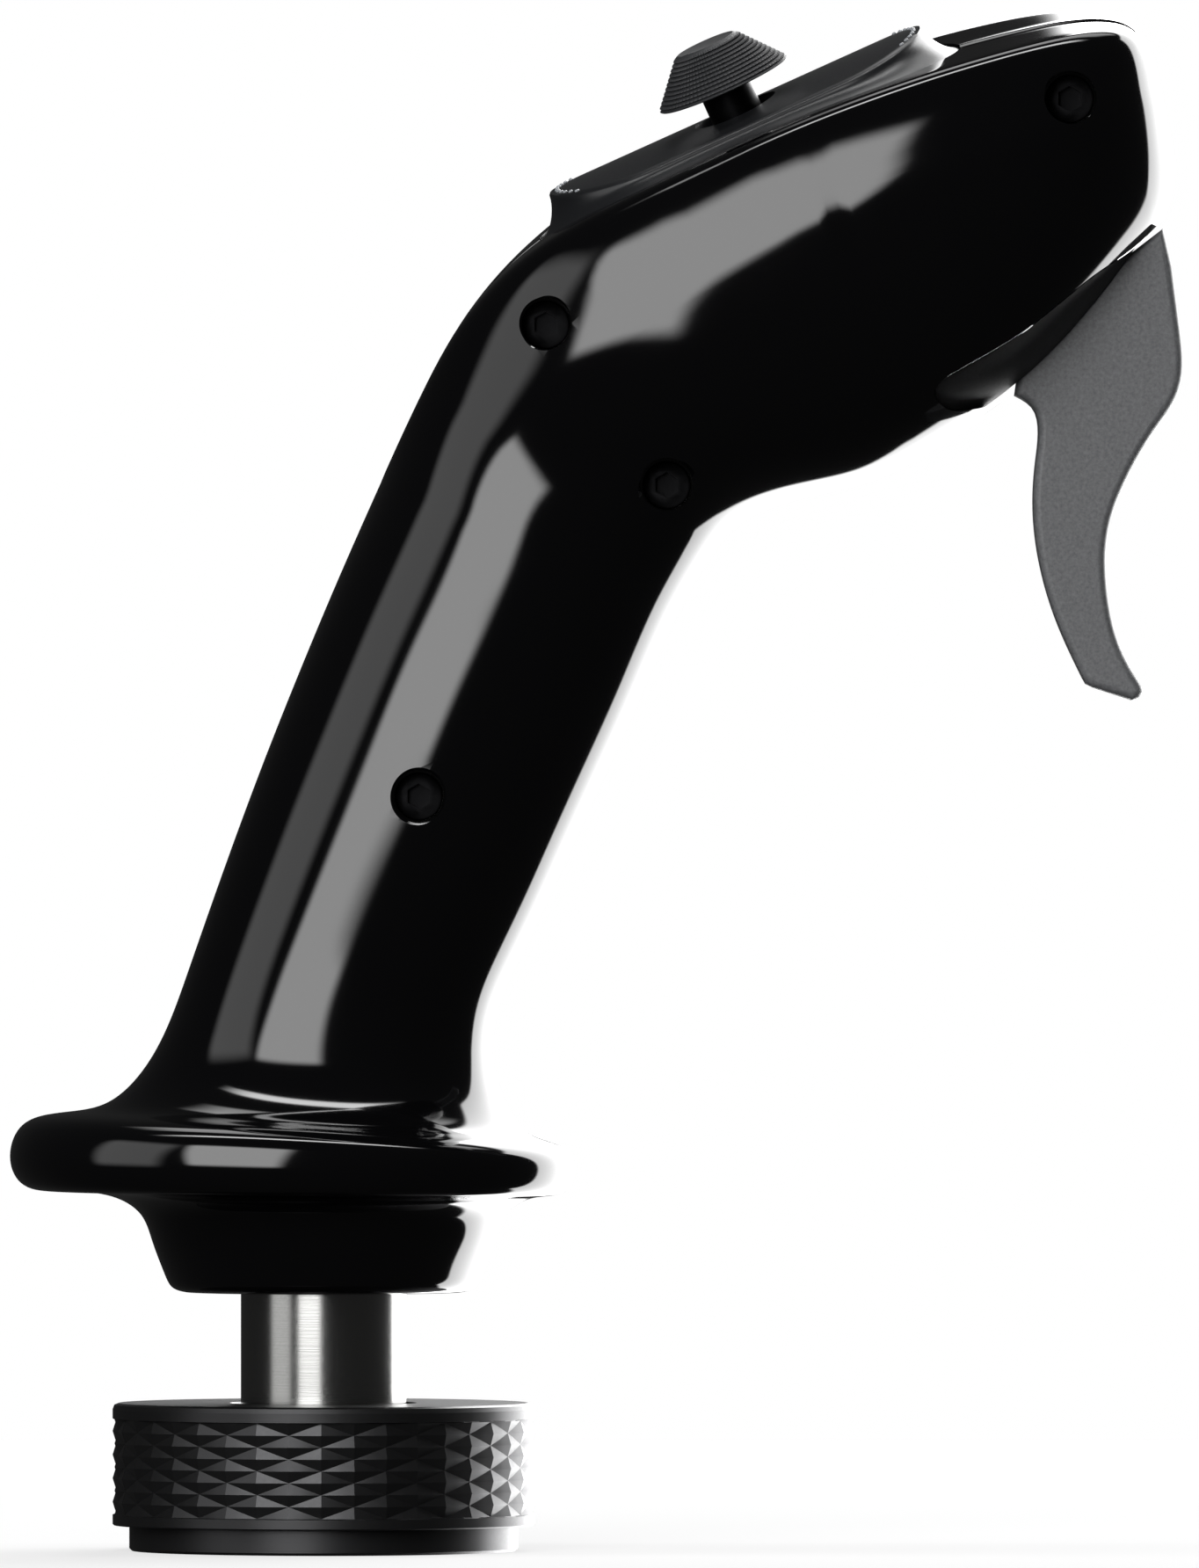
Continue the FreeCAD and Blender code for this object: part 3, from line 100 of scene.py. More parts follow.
# Sections of the outer form. Each lies in a plane through a back point and a front point on the
# parting plane: back X, back Z, front X, front Z, half width, squareness, share of the top cut flat.
SECTIONS = [
    (-15.7, 29.4, 15.7, 29.4, 15.7, 2.0, 0.0), (-17.2, 29.9, 17.2, 29.9, 17.2, 2.0, 0.0),
    (-18.1, 31.4, 18.1, 31.4, 18.1, 2.0, 0.0), (-19.6, 35.4, 19.6, 35.4, 19.6, 2.0, 0.0),
    (-20.9, 38.3, 20.8, 38.3, 20.5, 2.0, 0.0), (-24.2, 40.3, 23.2, 39.9, 22.8, 2.0, 0.0),
    (-30.0, 40.9, 26.0, 40.4, 25.6, 2.1, 0.0), (-34.2, 41.6, 28.0, 41.3, 27.4, 2.1, 0.0),
    (-35.7, 44.4, 28.6, 43.4, 28.0, 2.1, 0.0), (-34.6, 48.1, 27.8, 45.5, 27.2, 2.1, 0.0),
    (-31.5, 49.6, 25.4, 46.6, 25.0, 2.1, 0.0), (-25.5, 50.6, 22.4, 48.2, 21.2, 2.1, 0.0),
    (-21.6, 53.4, 20.4, 51.4, 17.9, 2.1, 0.0), (-18.2, 58.7, 19.2, 56.0, 15.6, 2.15, 0.0),
    (-15.6, 65.4, 19.5, 60.6, 14.9, 2.15, 0.0), (-12.6, 74.0, 21.6, 66.0, 15.0, 2.15, 0.0),
    (-8.1, 86.4, 25.0, 73.0, 15.5, 2.15, 0.0), (-3.4, 98.4, 30.0, 84.0, 16.0, 2.15, 0.0),
    (1.6, 110.4, 35.7, 96.5, 16.3, 2.15, 0.0), (6.5, 121.5, 40.2, 106.6, 16.7, 2.15, 0.0),
    (11.2, 131.6, 44.0, 113.2, 17.0, 2.2, 0.03), (17.3, 142.0, 47.0, 116.6, 19.4, 2.2, 0.09),
    (26.0, 150.2, 51.4, 118.8, 21.4, 2.25, 0.15), (36.9, 156.7, 57.0, 120.3, 22.0, 2.3, 0.19),
    (47.6, 162.1, 63.0, 121.9, 22.0, 2.3, 0.21), (58.8, 166.7, 69.2, 125.1, 21.8, 2.3, 0.21),
    (69.5, 170.3, 76.0, 129.4, 0, 2.3, 0.21), (78.5, 172.7, 82.4, 134.7, 0, 2.3, 0.21),
    (85.5, 174.0, 87.8, 140.6, 0, 2.3, 0.20), (89.6, 174.0, 91.6, 145.3, 0, 2.3, 0.18),
    (92.0, 173.1, 94.2, 148.9, 0, 2.3, 0.16), (93.6, 171.3, 95.7, 151.7, 0, 2.2, 0.14),
    (94.8, 168.2, 96.6, 155.2, 0, 2.2, 0.12), (95.3, 165.5, 96.8, 157.8, 0, 2.2, 0.10),
]
WIDEST = 25                     # ahead of this section the half width follows the nose's round plan
NOSE_START, NOSE_HALF_WIDTH, NOSE_SQUARENESS = 60.0, 21.8, 2.3
CANT, CANT_FROM, CANT_TO, CANT_BLEND = math.radians(8), 20, 24, 0.6   # head's top turned to the right
EDGE_SOFTNESS = 0.75            # rounding between the head's flat top and its sides
WALL = 2.4
ROWS_PER_SECTION, COLUMNS = 8, 64


def natural_spline(knots, values):
    """A natural cubic spline through values at knots, as a function."""
    count = len(knots)
    gaps = [b - a for a, b in zip(knots, knots[1:])]
    upper, right, bend = [0.0] * count, [0.0] * count, [0.0] * count
    for i in range(1, count - 1):
        rise = (values[i + 1] - values[i]) / gaps[i] - (values[i] - values[i - 1]) / gaps[i - 1]
        diagonal = 2 * (gaps[i - 1] + gaps[i]) - gaps[i - 1] * upper[i - 1]
        upper[i] = gaps[i] / diagonal
        right[i] = (6 * rise - gaps[i - 1] * right[i - 1]) / diagonal
    for i in range(count - 2, 0, -1):
        bend[i] = right[i] - upper[i] * bend[i + 1]

    def at(knot):
        i = max(k for k in range(count - 1) if k == 0 or knots[k] <= knot)
        a, b, gap = knots[i + 1] - knot, knot - knots[i], gaps[i]
        cubic = (bend[i] * a**3 + bend[i + 1] * b**3) / (6 * gap)
        low, high = values[i] / gap - bend[i] * gap / 6, values[i + 1] / gap - bend[i + 1] * gap / 6
        return cubic + low * a + high * b

    return at


knots = [0.0]
for one, two in zip(SECTIONS, SECTIONS[1:]):
    knots.append(knots[-1] + math.dist(one[:4], two[:4]))
edges_at = [natural_spline(knots, [section[c] for section in SECTIONS]) for c in range(4)]
width_at = natural_spline(knots[:WIDEST + 1], [section[4] for section in SECTIONS[:WIDEST + 1]])
nose_tip = (SECTIONS[-1][0] + SECTIONS[-1][2]) / 2


def smooth_step(share):
    """An even ease from 0 to 1."""
    share = max(0.0, min(1.0, share))
    return share * share * (3 - 2 * share)


def form_point(row, angle, side, inset):
    """A point of the outer form, or of the same form inset. Angle 0 is the back, pi the front."""
    i = min(int(row), len(SECTIONS) - 2)
    share = row - i
    knot = knots[i] + (knots[i + 1] - knots[i]) * share
    squareness, flat = (SECTIONS[i][c] * (1 - share) + SECTIONS[i + 1][c] * share for c in (5, 6))
    back_x, back_z, front_x, front_z = (column(knot) for column in edges_at)
    middle_x = (back_x + front_x) / 2
    if middle_x <= NOSE_START:
        width = width_at(min(knot, knots[WIDEST]))
    else:
        reach = min(1.0, (middle_x - NOSE_START) / (nose_tip - NOSE_START))
        width = NOSE_HALF_WIDTH * (1 - reach**NOSE_SQUARENESS) ** (1 / NOSE_SQUARENESS)
    width = max(0.0, width - inset)
    chord = Vector((back_x - front_x, 0, back_z - front_z))
    length = chord.length - 2 * inset
    chord.normalize()
    oval = length / 2 * (1 + flat)
    top = length - oval
    cos, sin = math.cos(angle), math.sin(angle)
    reach = (abs(cos) ** squareness + abs(sin) ** squareness) ** (-1 / squareness)
    along, across = oval * reach * cos, width * reach * sin * side
    softness = EDGE_SOFTNESS * min(1.0, flat / 0.1)
    if softness > 1e-6:
        excess = (top - along) / softness
        along = top - softness * (math.log1p(math.exp(-abs(excess))) + max(excess, 0.0))
    cant = smooth_step((knot - knots[CANT_FROM]) / (knots[CANT_TO] - knots[CANT_FROM]))
    along += across * math.tan(CANT) * smooth_step(along / (CANT_BLEND * top)) * cant
    return (Vector((front_x, 0, front_z)) + chord * (inset + oval + along) + Vector((0, across, 0))) * MM


def form_half(side, inset, first, last, seam=0.0):
    """One half of the form as a closed solid. The seam is how far its parting edges are eased."""
    bm = bmesh.new()
    rows = round((last - first) * ROWS_PER_SECTION)
    bmesh.ops.create_grid(bm, x_segments=rows, y_segments=COLUMNS, size=0.5)
    cells = {}
    for vert in bm.verts:
        i, j = round((vert.co.x + 0.5) * rows), round((vert.co.y + 0.5) * COLUMNS)
        share = j / COLUMNS
        eased = share + 0.35 * math.sin(4 * math.pi * share) / (4 * math.pi)
        cells[i, j] = vert
        vert.co = form_point(first + (last - first) * i / rows, math.pi * eased, side, inset)
    for i in range(rows + 1):
        for edge, inner in ((0, 1), (COLUMNS, COLUMNS - 1)):
            vert = cells[i, edge]
            vert.co.y = 0.0
            if seam and cells[i, inner].co.y * side > 2 * seam:
                inwards = (cells[i, COLUMNS - edge].co - vert.co).normalized()
                vert.co += inwards * seam
                cells[i, inner].co.y = side * seam
    for i in (0, rows):
        ends = [cells[i, j] for j in range(COLUMNS + 1)]
        if max(abs(vert.co.y) for vert in ends) > 0.01 * MM:
            bmesh.ops.contextual_create(bm, geom=ends)
    bmesh.ops.remove_doubles(bm, verts=bm.verts[:], dist=0.004 * MM)
    rim = [edge for edge in bm.edges if edge.is_boundary]
    bmesh.ops.holes_fill(bm, edges=rim, sides=0)
    bmesh.ops.recalc_face_normals(bm, faces=bm.faces[:])
    bmesh.ops.triangulate(bm, faces=[face for face in bm.faces if len(face.verts) > 4])
    return bm


def to_object(name, bm):
    """A mesh object from a bmesh, which is freed."""
    mesh = bpy.data.meshes.new(name)
    bm.to_mesh(mesh)
    bm.free()
    obj = bpy.data.objects.new(name, mesh)
    bpy.context.scene.collection.objects.link(obj)
    return obj


def carve(obj, operation, *tools):
    """Cuts or joins the tools, which are bmeshes, and keeps only the result."""
    for bm in tools:
        tool = to_object("tool", bm)
        modifier = obj.modifiers.new("carve", "BOOLEAN")
        modifier.operation, modifier.object, modifier.solver = operation, tool, "MANIFOLD"
        result = bpy.data.meshes.new_from_object(obj.evaluated_get(bpy.context.evaluated_depsgraph_get()))
        obj.modifiers.clear()
        spent = obj.data
        obj.data = result
        bpy.data.meshes.remove(spent)
        used = tool.data
        bpy.data.objects.remove(tool)
        bpy.data.meshes.remove(used)


def rod(radius, start, end, sides=48):
    """A closed cylinder between two points, in millimetres."""
    bm = bmesh.new()
    start, end = Vector(start), Vector(end)
    turn = (end - start).to_track_quat("Z", "Y").to_matrix().to_4x4()
    place = Matrix.Translation((start + end) / 2) @ turn
    bmesh.ops.create_cone(bm, cap_ends=True, segments=sides, radius1=radius, radius2=radius,
                          depth=(end - start).length, matrix=place)
    bmesh.ops.scale(bm, vec=(MM, MM, MM), verts=bm.verts[:])
    return bm


def finish(obj, body, material, *nodes, sharp=35):
    """Smooth shading up to an angle, the piece's material, its body and the CAD nodes it replaces."""
    bm = bmesh.new()
    bm.from_mesh(obj.data)
    for face in bm.faces:
        face.smooth = True
    for edge in bm.edges:
        edge.smooth = len(edge.link_faces) == 2 and edge.calc_face_angle(0) < math.radians(sharp)
    bm.to_mesh(obj.data)
    bm.free()
    obj.data.materials.clear()
    obj.data.materials.append(material)
    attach(obj, body)
    if nodes:
        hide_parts(*nodes)


def curve_points(points, steps):
    """Points along a smooth curve through X, Z points, each a pair."""
    stations = [0.0]
    for one, two in zip(points, points[1:]):
        stations.append(stations[-1] + math.dist(one, two))
    across = [natural_spline(stations, [point[c] for point in points]) for c in (0, 1)]
    return [tuple(at(stations[-1] * k / steps) for at in across) for k in range(steps + 1)]


def slab(corners, rise):
    """A closed outline of corners pushed along a vector to make a block, in millimetres."""
    bm = bmesh.new()
    face = bm.faces.new([bm.verts.new((x * MM, y * MM, z * MM)) for x, y, z in corners])
    made = bmesh.ops.extrude_face_region(bm, geom=[face])["geom"]
    moved = [item for item in made if isinstance(item, bmesh.types.BMVert)]
    bmesh.ops.translate(bm, vec=[reach * MM for reach in rise], verts=moved)
    bmesh.ops.recalc_face_normals(bm, faces=bm.faces[:])
    return bm


def prism(outline, low_y, high_y):
    """A closed outline of X, Z points, extruded along Y, in millimetres."""
    return slab([(x, low_y, z) for x, z in outline], (0, high_y - low_y, 0))


def stadium(length, width, low, high, steps=24):
    """A round-ended block along X, in millimetres."""
    radius = width / 2
    reach = length / 2 - radius
    corners = []
    for end in (1, -1):
        for k in range(steps + 1):
            turn = math.pi * (k / steps - 0.5)
            corners.append((end * (reach + radius * math.cos(turn)), end * radius * math.sin(turn), low))
    return slab(corners, (0, 0, high - low))


SCREWS = [(25.3, 139.3), (39.0, 121.1), (10.9, 85.8), (84.7, 164.9)]   # X, Z of each shell screw
HEAD_SEAT = 7.5                 # a screw head's seat, to the right of the parting plane
OUTSIDE = 40                    # clear of the form on either side
BOSS_RADIUS, COUNTERBORE, CLEARANCE_HOLE = 4.8, 3.0, 1.7
INSERT_POCKET, INSERT_DEPTH, SCREW_HOLE = 2.15, 5.2, 1.65
PIVOT = (86.5, 147.6)           # trigger pin
PIN_POST, PIN_POST_START, PIN_SOCKET, PIN_SOCKET_DEPTH = 3.4, 8.4, 1.54, 10.7
HUB_ROOM, SLOT_HALF = 4.05, 5.3
TRIGGER_SLOT = [(75, 124.5), (100, 124.5), (100, 136.5), (75, 136.5)]
SHAFT_HOLE, CLAMP_ROOM = 9.5, 13.8
CRESCENT = [
    (97.6, 153.4), (95.5, 151.4), (92.4, 148.4), (88.0, 145.3), (83.0, 141.3), (78.1, 137.6), (73.5, 134.9),
    (71.0, 133.5), (69.3, 131.4), (70.8, 129.7), (73.2, 129.6), (76.2, 130.3), (79.2, 132.0),
]
PAD_RISE = math.radians(24.3)
pad_place = (Matrix.Translation(Vector((46.8, 0, 163.9)) * MM) @ Matrix.Rotation(-PAD_RISE, 4, "Y")
             @ Matrix.Rotation(CANT, 4, "X"))
PAD_LENGTH, PAD_WIDTH, PAD_FOOT, PAD_HEIGHT = 46.4, 22.6, 3.0, 5.0
HANDLE_FOOT, CAVITY_END = 12, 29   # first and last section of the hollow


def placed(bm, place):
    """The bmesh, moved to its place on the object."""
    bmesh.ops.transform(bm, matrix=place, verts=bm.verts[:])
    return bm


def chamfer_cone(tree, x, z):
    """A cone that breaks the edge of a counterbore, square to the surface there."""
    hit, normal = tree.ray_cast(Vector((x, -OUTSIDE, z)) * MM, Vector((0, 1, 0)))[:2]
    if normal.y > 0:
        normal.negate()
    place = Matrix.Translation(hit) @ normal.to_track_quat("Z", "Y").to_matrix().to_4x4()
    cone = bmesh.new()
    bmesh.ops.create_cone(cone, cap_ends=True, segments=64, radius1=2.9 * MM, radius2=3.7 * MM,
                          depth=0.8 * MM, matrix=place)
    return cone


for name, side in (("shell_right", -1), ("shell_left", 1)):
    hollow = to_object("hollow", form_half(side, WALL, HANDLE_FOOT, CAVITY_END))
    carve(hollow, "DIFFERENCE", *[rod(BOSS_RADIUS, (x, -31 * side, z), (x, 31 * side, z)) for x, z in SCREWS])
    carve(hollow, "DIFFERENCE",
          rod(PIN_POST, (PIVOT[0], PIN_POST_START * side, PIVOT[1]), (PIVOT[0], 31 * side, PIVOT[1])))
    ledge = stadium(60, 33, -PAD_HEIGHT - 2.6, -PAD_HEIGHT - 0.1)
    carve(hollow, "DIFFERENCE", placed(ledge, pad_place))
    skin = form_half(side, 0.0, 0, len(SECTIONS) - 1, seam=0.12 * MM)
    if side < 0:
        chamfers = [chamfer_cone(BVHTree.FromBMesh(skin), x, z) for x, z in SCREWS]
    shell = to_object(name, skin)
    bm = bmesh.new()
    bm.from_mesh(hollow.data)
    carve(shell, "DIFFERENCE", bm)
    bpy.data.objects.remove(hollow)
    foot = 2 * PAD_FOOT + 0.3
    recess = placed(stadium(PAD_LENGTH + foot, PAD_WIDTH + foot, -PAD_HEIGHT - 0.1, 12), pad_place)
    opening = placed(stadium(47, 23, -14, 0), pad_place)
    below = [(81.0, 128.0), (104.0, 147.0)]
    edge = curve_points(CRESCENT[:8], 30)[:-1] + curve_points(CRESCENT[7:], 24)
    carve(shell, "DIFFERENCE", recess, opening, prism(edge + below, -30, 30),
          rod(SHAFT_HOLE, (0, 0, 27), (0, 0, 40), 96), rod(CLAMP_ROOM, (0, 0, 32.6), (0, 0, 57.5), 64))
    if side < 0:
        carve(shell, "DIFFERENCE",
              *[rod(COUNTERBORE, (x, -OUTSIDE, z), (x, -HEAD_SEAT, z), 64) for x, z in SCREWS],
              *[rod(CLEARANCE_HOLE, (x, -HEAD_SEAT - 1, z), (x, 1, z), 32) for x, z in SCREWS])
        carve(shell, "DIFFERENCE", *chamfers)
    else:
        carve(shell, "DIFFERENCE",
              *[rod(INSERT_POCKET, (x, -1, z), (x, INSERT_DEPTH, z), 32) for x, z in SCREWS],
              *[rod(SCREW_HOLE, (x, 4, z), (x, 9, z), 32) for x, z in SCREWS])
    middle = (PIVOT[0], 0, PIVOT[1])
    carve(shell, "DIFFERENCE", prism(TRIGGER_SLOT, -SLOT_HALF, SLOT_HALF))
    carve(shell, "DIFFERENCE", rod(HUB_ROOM, middle, (PIVOT[0], 5.4 * side, PIVOT[1]), 48))
    carve(shell, "DIFFERENCE", rod(PIN_SOCKET, middle, (PIVOT[0], PIN_SOCKET_DEPTH * side, PIVOT[1]), 32))
    finish(shell, "grip", polished_abs, name)

# ---------------------------------------------------------------- shell screws and inserts
# Four M3 socket head cap screws of blackened steel, sunk in the right shell's counterbores. They
# pull on brass inserts melted into the left shell.


def new_metal(name, colour, roughness, grain_mm, depth_mm):
    """A metal whose fine grain or tool marks are a noise of this size and depth."""
    material, tree, shader, where = new_material(name)
    shader.inputs["Base Color"].default_value = linear(colour)
    shader.inputs["Metallic"].default_value = 1.0
    marks = add(tree, "TexNoise", Vector=where, Scale=1 / (grain_mm * MM), Detail=4.0)
    rough = add(tree, "MapRange", Value=marks.outputs["Fac"], To_Min=roughness * 0.8,
                To_Max=roughness * 1.25)
    tree.links.new(rough.outputs["Result"], shader.inputs["Roughness"])
    bump(tree, shader, marks.outputs["Fac"], depth_mm)
    return material


def clad(material, *names):
    """Gives kept CAD nodes a finished material."""
    for name in names:
        for slot in range(len(cad[name].data.materials)):
            cad[name].data.materials[slot] = material


# Black oxide on alloy steel: a thin dark film that still shines like metal, slightly mottled.
black_oxide = new_metal("black_oxide_steel", "#161617", 0.38, 0.5, 0.004)
# Machined brass: warm, fairly bright, with fine tool marks.
brass = new_metal("machined_brass", "#c9a45c", 0.28, 0.3, 0.003)

HEAD_RADIUS, HEAD_HEIGHT, SHANK_RADIUS, SHANK_LENGTH = 2.75, 3.0, 1.47, 13.99
SOCKET_RADIUS, SOCKET_DEPTH = 1.45, 1.6
upright = Matrix.Rotation(math.radians(90), 4, "X")
screws = bmesh.new()
for x, z in SCREWS:
    head_top = -HEAD_SEAT - HEAD_HEIGHT
    place = Matrix.Translation((x, head_top + HEAD_HEIGHT / 2, z)) @ upright
    made = bmesh.ops.create_cone(screws, cap_ends=True, segments=48, radius1=HEAD_RADIUS,
                                 radius2=HEAD_RADIUS, depth=HEAD_HEIGHT, matrix=place)
    top = [face for face in {f for v in made["verts"] for f in v.link_faces} if face.normal.y < -0.9]
    bmesh.ops.bevel(screws, geom=top[0].edges[:], offset=0.3, offset_type="OFFSET", segments=2,
                    affect="EDGES", profile=0.5, material=-1)
    shank = Matrix.Translation((x, -HEAD_SEAT + 7.0, z)) @ upright
    bmesh.ops.create_cone(screws, cap_ends=True, segments=32, radius1=SHANK_RADIUS,
                          radius2=SHANK_RADIUS, depth=SHANK_LENGTH, matrix=shank)
bmesh.ops.scale(screws, vec=(MM, MM, MM), verts=screws.verts[:])
screws_object = to_object("socket_screws", screws)
sockets = [rod(SOCKET_RADIUS, (x, head_top - 0.5, z), (x, head_top + SOCKET_DEPTH, z), 6) for x, z in SCREWS]
carve(screws_object, "DIFFERENCE", *sockets)
finish(screws_object, "grip", black_oxide, "shell_screws")
clad(brass, "brass_inserts")

# ---------------------------------------------------------------- thumb pad
# A satin moulded faceplate set into the head's canted top: a crowned, round-ended face on concave
# flared sides, whose foot lip follows the head. Small raised pips at both ends guide the thumb.

# Satin ABS, moulded in a fine-sparked tool: dark grey, a soft broad sheen and a barely visible grain.
satin_abs, tree, shader, where = new_material("satin_dark_abs")
shader.inputs["Base Color"].default_value = linear("#17181a")
shader.inputs["IOR"].default_value = 1.54
grain = add(tree, "TexNoise", Vector=where, Scale=1 / (0.25 * MM), Detail=2.0)
sheen = add(tree, "MapRange", Value=grain.outputs["Fac"], To_Min=0.26, To_Max=0.36)
tree.links.new(sheen.outputs["Result"], shader.inputs["Roughness"])
bump(tree, shader, grain.outputs["Fac"], 0.006)

CROWN = 1.0            # how far the face's long edges lie below its middle
LIP_GAP = 0.35         # lip below the head's surface
AROUND, FLARE, INWARD = 160, 12, 10   # steps round the pad, up its flared side and in over its face
LAYERS = 2 + FLARE + 2 + INWARD
LIP_SMOOTHING = 24
to_pad = pad_place.inverted()
outer_skin = [BVHTree.FromBMesh(form_half(side, LIP_GAP, 12, len(SECTIONS) - 1)) for side in (-1, 1)]


def head_level(x, y):
    """Height of the lip's surface over the pad's own plane, in millimetres."""
    start = pad_place @ (Vector((x, y, 15)) * MM)
    down = pad_place.to_3x3() @ Vector((0, 0, -1))
    hits = [tree.ray_cast(start, down)[0] for tree in outer_skin]
    levels = [(to_pad @ hit).z / MM for hit in hits if hit is not None]
    return max(levels) if levels else -PAD_HEIGHT


def outline_point(share, grow):
    """A point round a stadium outline, grown outwards, and the nearest point of its spine."""
    radius = PAD_WIDTH / 2
    reach = PAD_LENGTH / 2 - radius
    straight, bend = 2 * reach, math.pi * radius
    walk = share * 2 * (straight + bend)
    if walk < straight:
        spine, turn = walk - reach, -math.pi / 2
    elif walk < straight + bend:
        spine, turn = reach, -math.pi / 2 + (walk - straight) / radius
    elif walk < 2 * straight + bend:
        spine, turn = reach - (walk - straight - bend), math.pi / 2
    else:
        spine, turn = -reach, math.pi / 2 + (walk - 2 * straight - bend) / radius
    away = Vector((math.cos(turn), math.sin(turn), 0)) * (radius + grow)
    return Vector((spine, 0, 0)) + away, Vector((spine, 0, 0))


def face_level(y):
    """Height of the crowned face, which falls away to its long edges."""
    return -CROWN * (y / (PAD_WIDTH / 2)) ** 2


lips = [outline_point(k / AROUND, PAD_FOOT)[0] for k in range(AROUND)]
levels = [head_level(lip.x, lip.y) for lip in lips]
for turn in range(LIP_SMOOTHING):
    levels = [(levels[k - 1] + 2 * levels[k] + levels[(k + 1) % AROUND]) / 4 for k in range(AROUND)]
pad = bmesh.new()
bmesh.ops.create_grid(pad, x_segments=AROUND, y_segments=LAYERS, size=0.5)
for vert in pad.verts:
    i, j = round((vert.co.x + 0.5) * AROUND), round((vert.co.y + 0.5) * LAYERS)
    share = (i % AROUND) / AROUND
    rim, spine = outline_point(share, 0.0)
    lip, low = lips[i % AROUND], levels[i % AROUND]
    if j == 0:
        point = Vector((lip.x, lip.y, -PAD_HEIGHT))
    elif j == 1:
        point = Vector((lip.x, lip.y, low - 0.15))
    elif j <= FLARE + 2:
        rise = (j - 2) / FLARE
        grow = 0.05 + (PAD_FOOT - 0.2) * (1 - rise) ** 1.5
        point = outline_point(share, grow)[0]
        top = face_level(rim.y) - 0.25
        point.z = low + (top - low) * rise**1.35
    elif j == FLARE + 3:
        point = outline_point(share, -0.12)[0]
        point.z = face_level(point.y) - 0.03
    else:
        inner = (j - FLARE - 3) / (LAYERS - FLARE - 3)
        start = outline_point(share, -0.4)[0]
        point = start + (spine - start) * inner
        point.z = face_level(point.y)
    vert.co = pad_place @ (point * MM)
bmesh.ops.remove_doubles(pad, verts=pad.verts[:], dist=0.01 * MM)
bmesh.ops.holes_fill(pad, edges=[edge for edge in pad.edges if edge.is_boundary], sides=0)
bmesh.ops.recalc_face_normals(pad, faces=pad.faces[:])
pad_object = to_object("thumb_pad", pad)
room = bmesh.new()
bmesh.ops.create_cube(room, size=1.0)
bmesh.ops.scale(room, vec=(20.0 * MM, 20.0 * MM, 5.0 * MM), verts=room.verts[:])
bmesh.ops.translate(room, vec=(0, 0, -4.9 * MM), verts=room.verts[:])
stem_hole = placed(rod(5.0, (0, 0, -8), (0, 0, 4), 72), pad_place)
carve(pad_object, "DIFFERENCE", placed(room, pad_place), stem_hole)
finish(pad_object, "grip", satin_abs, "top_pad", sharp=50)

# Moulded pips with a polished crown. Their pale grey colour is a painted highlight that stands in for the
# small bright points of light they catch.
polished_pip, tree, shader, where = new_material("polished_pips")
# Painted highlight: the pale grey base colour makes the pips show as bright points.
shader.inputs["Base Color"].default_value = linear("#8d9094")
shader.inputs["IOR"].default_value = 1.54
rub = add(tree, "TexNoise", Vector=where, Scale=1 / (0.6 * MM), Detail=2.0)
rubbed = add(tree, "MapRange", Value=rub.outputs["Fac"], To_Min=0.12, To_Max=0.25)
tree.links.new(rubbed.outputs["Result"], shader.inputs["Roughness"])
pips = bmesh.new()
PIP_PITCH, PIP_RADIUS, PIP_INSET, PIPS_EACH_WAY = 1.3, 0.3, 1.0, 5
for end in (-1, 1):
    radius = PAD_WIDTH / 2 - PIP_INSET
    for k in range(-PIPS_EACH_WAY, PIPS_EACH_WAY + 1):
        turn = k * PIP_PITCH / radius
        x = end * (PAD_LENGTH / 2 - PAD_WIDTH / 2 + radius * math.cos(turn))
        y = radius * math.sin(turn)
        made = bmesh.ops.create_uvsphere(pips, u_segments=12, v_segments=8, radius=PIP_RADIUS)
        bmesh.ops.scale(pips, vec=(1, 1, 0.7), verts=made["verts"])
        bmesh.ops.translate(pips, vec=(x, y, face_level(y) - 0.02), verts=made["verts"])
bmesh.ops.scale(pips, vec=(MM, MM, MM), verts=pips.verts[:])
finish(to_object("pad_pips", placed(pips, pad_place)), "grip", polished_pip, sharp=80)

# ---------------------------------------------------------------- thumb stick
# A cap of moulded rubber on a steel rod: eleven sharp rings cut by fine upright grooves for grip,
# and a smooth flat top. It is pressed on the rod's stem, which stands in the pad's round hole.

# Black rubber, moulded: dark grey with a dull sheen.
moulded_rubber, tree, shader, where = new_material("moulded_rubber")
shader.inputs["Base Color"].default_value = linear("#2c2d2f")
shader.inputs["IOR"].default_value = 1.52
dust = add(tree, "TexNoise", Vector=where, Scale=1 / (0.8 * MM), Detail=4.0)
dull = add(tree, "MapRange", Value=dust.outputs["Fac"], To_Min=0.4, To_Max=0.58)
tree.links.new(dull.outputs["Result"], shader.inputs["Roughness"])
bump(tree, shader, dust.outputs["Fac"], 0.008)


def turned(profile, steps):
    """A body of revolution about Z from a profile of radius and height, in millimetres."""
    bm = bmesh.new()
    line = [bm.verts.new((r * MM, 0, z * MM)) for r, z in profile]
    edges = [bm.edges.new(pair) for pair in zip(line, line[1:])]
    bmesh.ops.spin(bm, geom=line + edges, cent=(0, 0, 0), axis=(0, 0, 1), angle=2 * math.pi,
                   steps=steps, use_merge=True)
    bmesh.ops.remove_doubles(bm, verts=bm.verts[:], dist=0.002 * MM)
    bmesh.ops.recalc_face_normals(bm, faces=bm.faces[:])
    return bm


